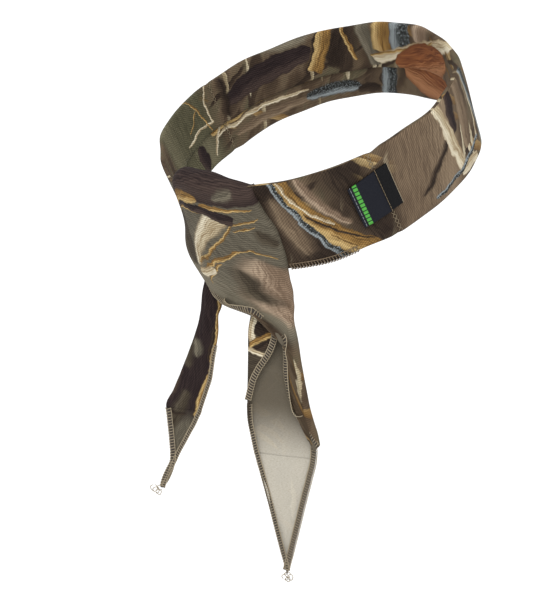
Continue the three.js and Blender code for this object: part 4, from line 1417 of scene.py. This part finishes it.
def swell(pad):
    """Lets the pad fill under pressure. Most points end on the limit of their move, which sets the shape."""
    scene = bpy.context.scene
    before = np.zeros(len(pad.data.vertices) * 3)
    pad.data.vertices.foreach_get("co", before)
    before = before.reshape(-1, 3)
    cloth = pad.modifiers.new("swell", "CLOTH")
    cloth.settings.use_pressure = True
    cloth.settings.uniform_pressure_force = SWELL_PRESSURE
    cloth.settings.effector_weights.gravity = 0.0
    cloth.settings.quality = 4
    for step in range(1, SWELL_FRAMES + 1):
        scene.frame_set(step)
    seen = pad.evaluated_get(bpy.context.evaluated_depsgraph_get())
    after = np.zeros(len(seen.data.vertices) * 3)
    seen.data.vertices.foreach_get("co", after)
    pad.modifiers.remove(cloth)
    scene.frame_set(1)
    move = after.reshape(-1, 3) - before
    far = np.linalg.norm(move, axis=1, keepdims=True)
    move = move * np.minimum(1, SWELL_LIMIT / np.maximum(far, 1e-9))
    pad.data.vertices.foreach_set("co", (before + move).ravel())
    pad.data.update()


def build_pad():
    angles = np.linspace(RIGHT_ROW_ANGLE + 3.5, LEFT_ROW_ANGLE - 3.5, 160)[:, None]
    turn = np.linspace(0, 2 * np.pi, 40, endpoint=False)[None, :]
    out = 1.05 * np.sign(np.cos(turn)) * np.abs(np.cos(turn)) ** 0.5
    height = 22.5 * np.sign(np.sin(turn)) * np.abs(np.sin(turn)) ** 0.8
    run = np.radians(angles) * BAND_RADIUS
    radius = BAND_RADIUS - 0.1 + out + band_give(run, height)
    grid = on_ring(angles + 0 * out, radius, settled(angles, height + 0 * angles))
    rows, cols = grid.shape[:2]
    index = np.arange(rows * cols).reshape(rows, cols)
    after = np.roll(index, -1, axis=1)
    faces = np.stack([index[:-1], index[1:], after[1:], after[:-1]], -1).reshape(-1, 4).tolist()
    faces += [list(index[0]), list(index[-1][::-1])]
    strip = np.stack(np.broadcast_arrays(run, height + 3 * out), -1).reshape(-1, 2)
    pad = make_mesh("cooling_pad", grid.reshape(-1, 3), faces, [PAD], uvs=strip)
    swell(pad)
    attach(pad, KNOT)
    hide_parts("cooling_insert")


# ---- assembling ----
build_band()
wrap_points = build_wrap()
build_crossings()
build_tail("right", *right_tail_grid(), RIGHT_BEND_DEPTH, [BACK_TAIL, TWILL_RIGHT_TAIL], "tail_twill")
build_tail("left", *left_tail_grid(), LEFT_BEND_DEPTH, [TWILL_LEFT_TAIL, BACK_PLAIN], "dark_twill")
build_wrap_stitches(wrap_points)
build_tail_stitches()
build_row_stitches()
build_band_edge_stitches()
build_label()
build_pad()


# ---- camera, light and floor ----
# The camera was fitted to the photograph: focal length, where it stands and what it looks at.
FOCAL_LENGTH = 75.96
SENSOR_WIDTH = 36
EYE = (590.1, -528.4, 153.35)
TARGET = (7.92, -39.93, -96.52)


def add_camera():
    data = bpy.data.cameras.new("camera")
    data.lens = FOCAL_LENGTH
    data.sensor_width = SENSOR_WIDTH
    camera = bpy.data.objects.new("camera", data)
    bpy.context.scene.collection.objects.link(camera)
    eye = Vector(EYE) * MM
    target = Vector(TARGET) * MM
    camera.location = eye
    camera.rotation_mode = "QUATERNION"
    camera.rotation_quaternion = (target - eye).to_track_quat("-Z", "Y")
    bpy.context.scene.camera = camera


def add_sun(name, towards, strength):
    data = bpy.data.lights.new(name, "SUN")
    data.angle = math.radians(30)
    data.energy = strength
    light = bpy.data.objects.new(name, data)
    bpy.context.scene.collection.objects.link(light)
    light.location = towards
    light.rotation_mode = "QUATERNION"
    light.rotation_quaternion = Vector(towards).to_track_quat("Z", "Y")


def add_stage():
    floor_level = -1.2
    side = 20.0
    mesh = bpy.data.meshes.new("floor")
    corners = [(x * side, y * side, floor_level) for x, y in ((-1, -1), (1, -1), (1, 1), (-1, 1))]
    mesh.from_pydata(corners, [], [(0, 1, 2, 3)])
    floor = bpy.data.objects.new("floor", mesh)
    bpy.context.scene.collection.objects.link(floor)
    material = bpy.data.materials.new("pale_floor")
    material.use_nodes = True
    shader = material.node_tree.nodes["Principled BSDF"]
    shader.inputs["Base Color"].default_value = (0.9, 0.9, 0.9, 1)
    shader.inputs["Roughness"].default_value = 0.9
    shader.inputs["Specular IOR Level"].default_value = CLOTH_SHINE
    mesh.materials.append(material)
    world = bpy.data.worlds.new("studio")
    bpy.context.scene.world = world
    world.use_nodes = True
    background = world.node_tree.nodes["Background"]
    background.inputs[0].default_value = (1, 1, 1, 1)
    background.inputs[1].default_value = 0.96


bpy.context.scene.view_settings.view_transform = "Standard"
add_camera()
add_sun("key", (0.75, -0.75, 1.15), 1.7)
add_stage()

bpy.context.view_layer.update()
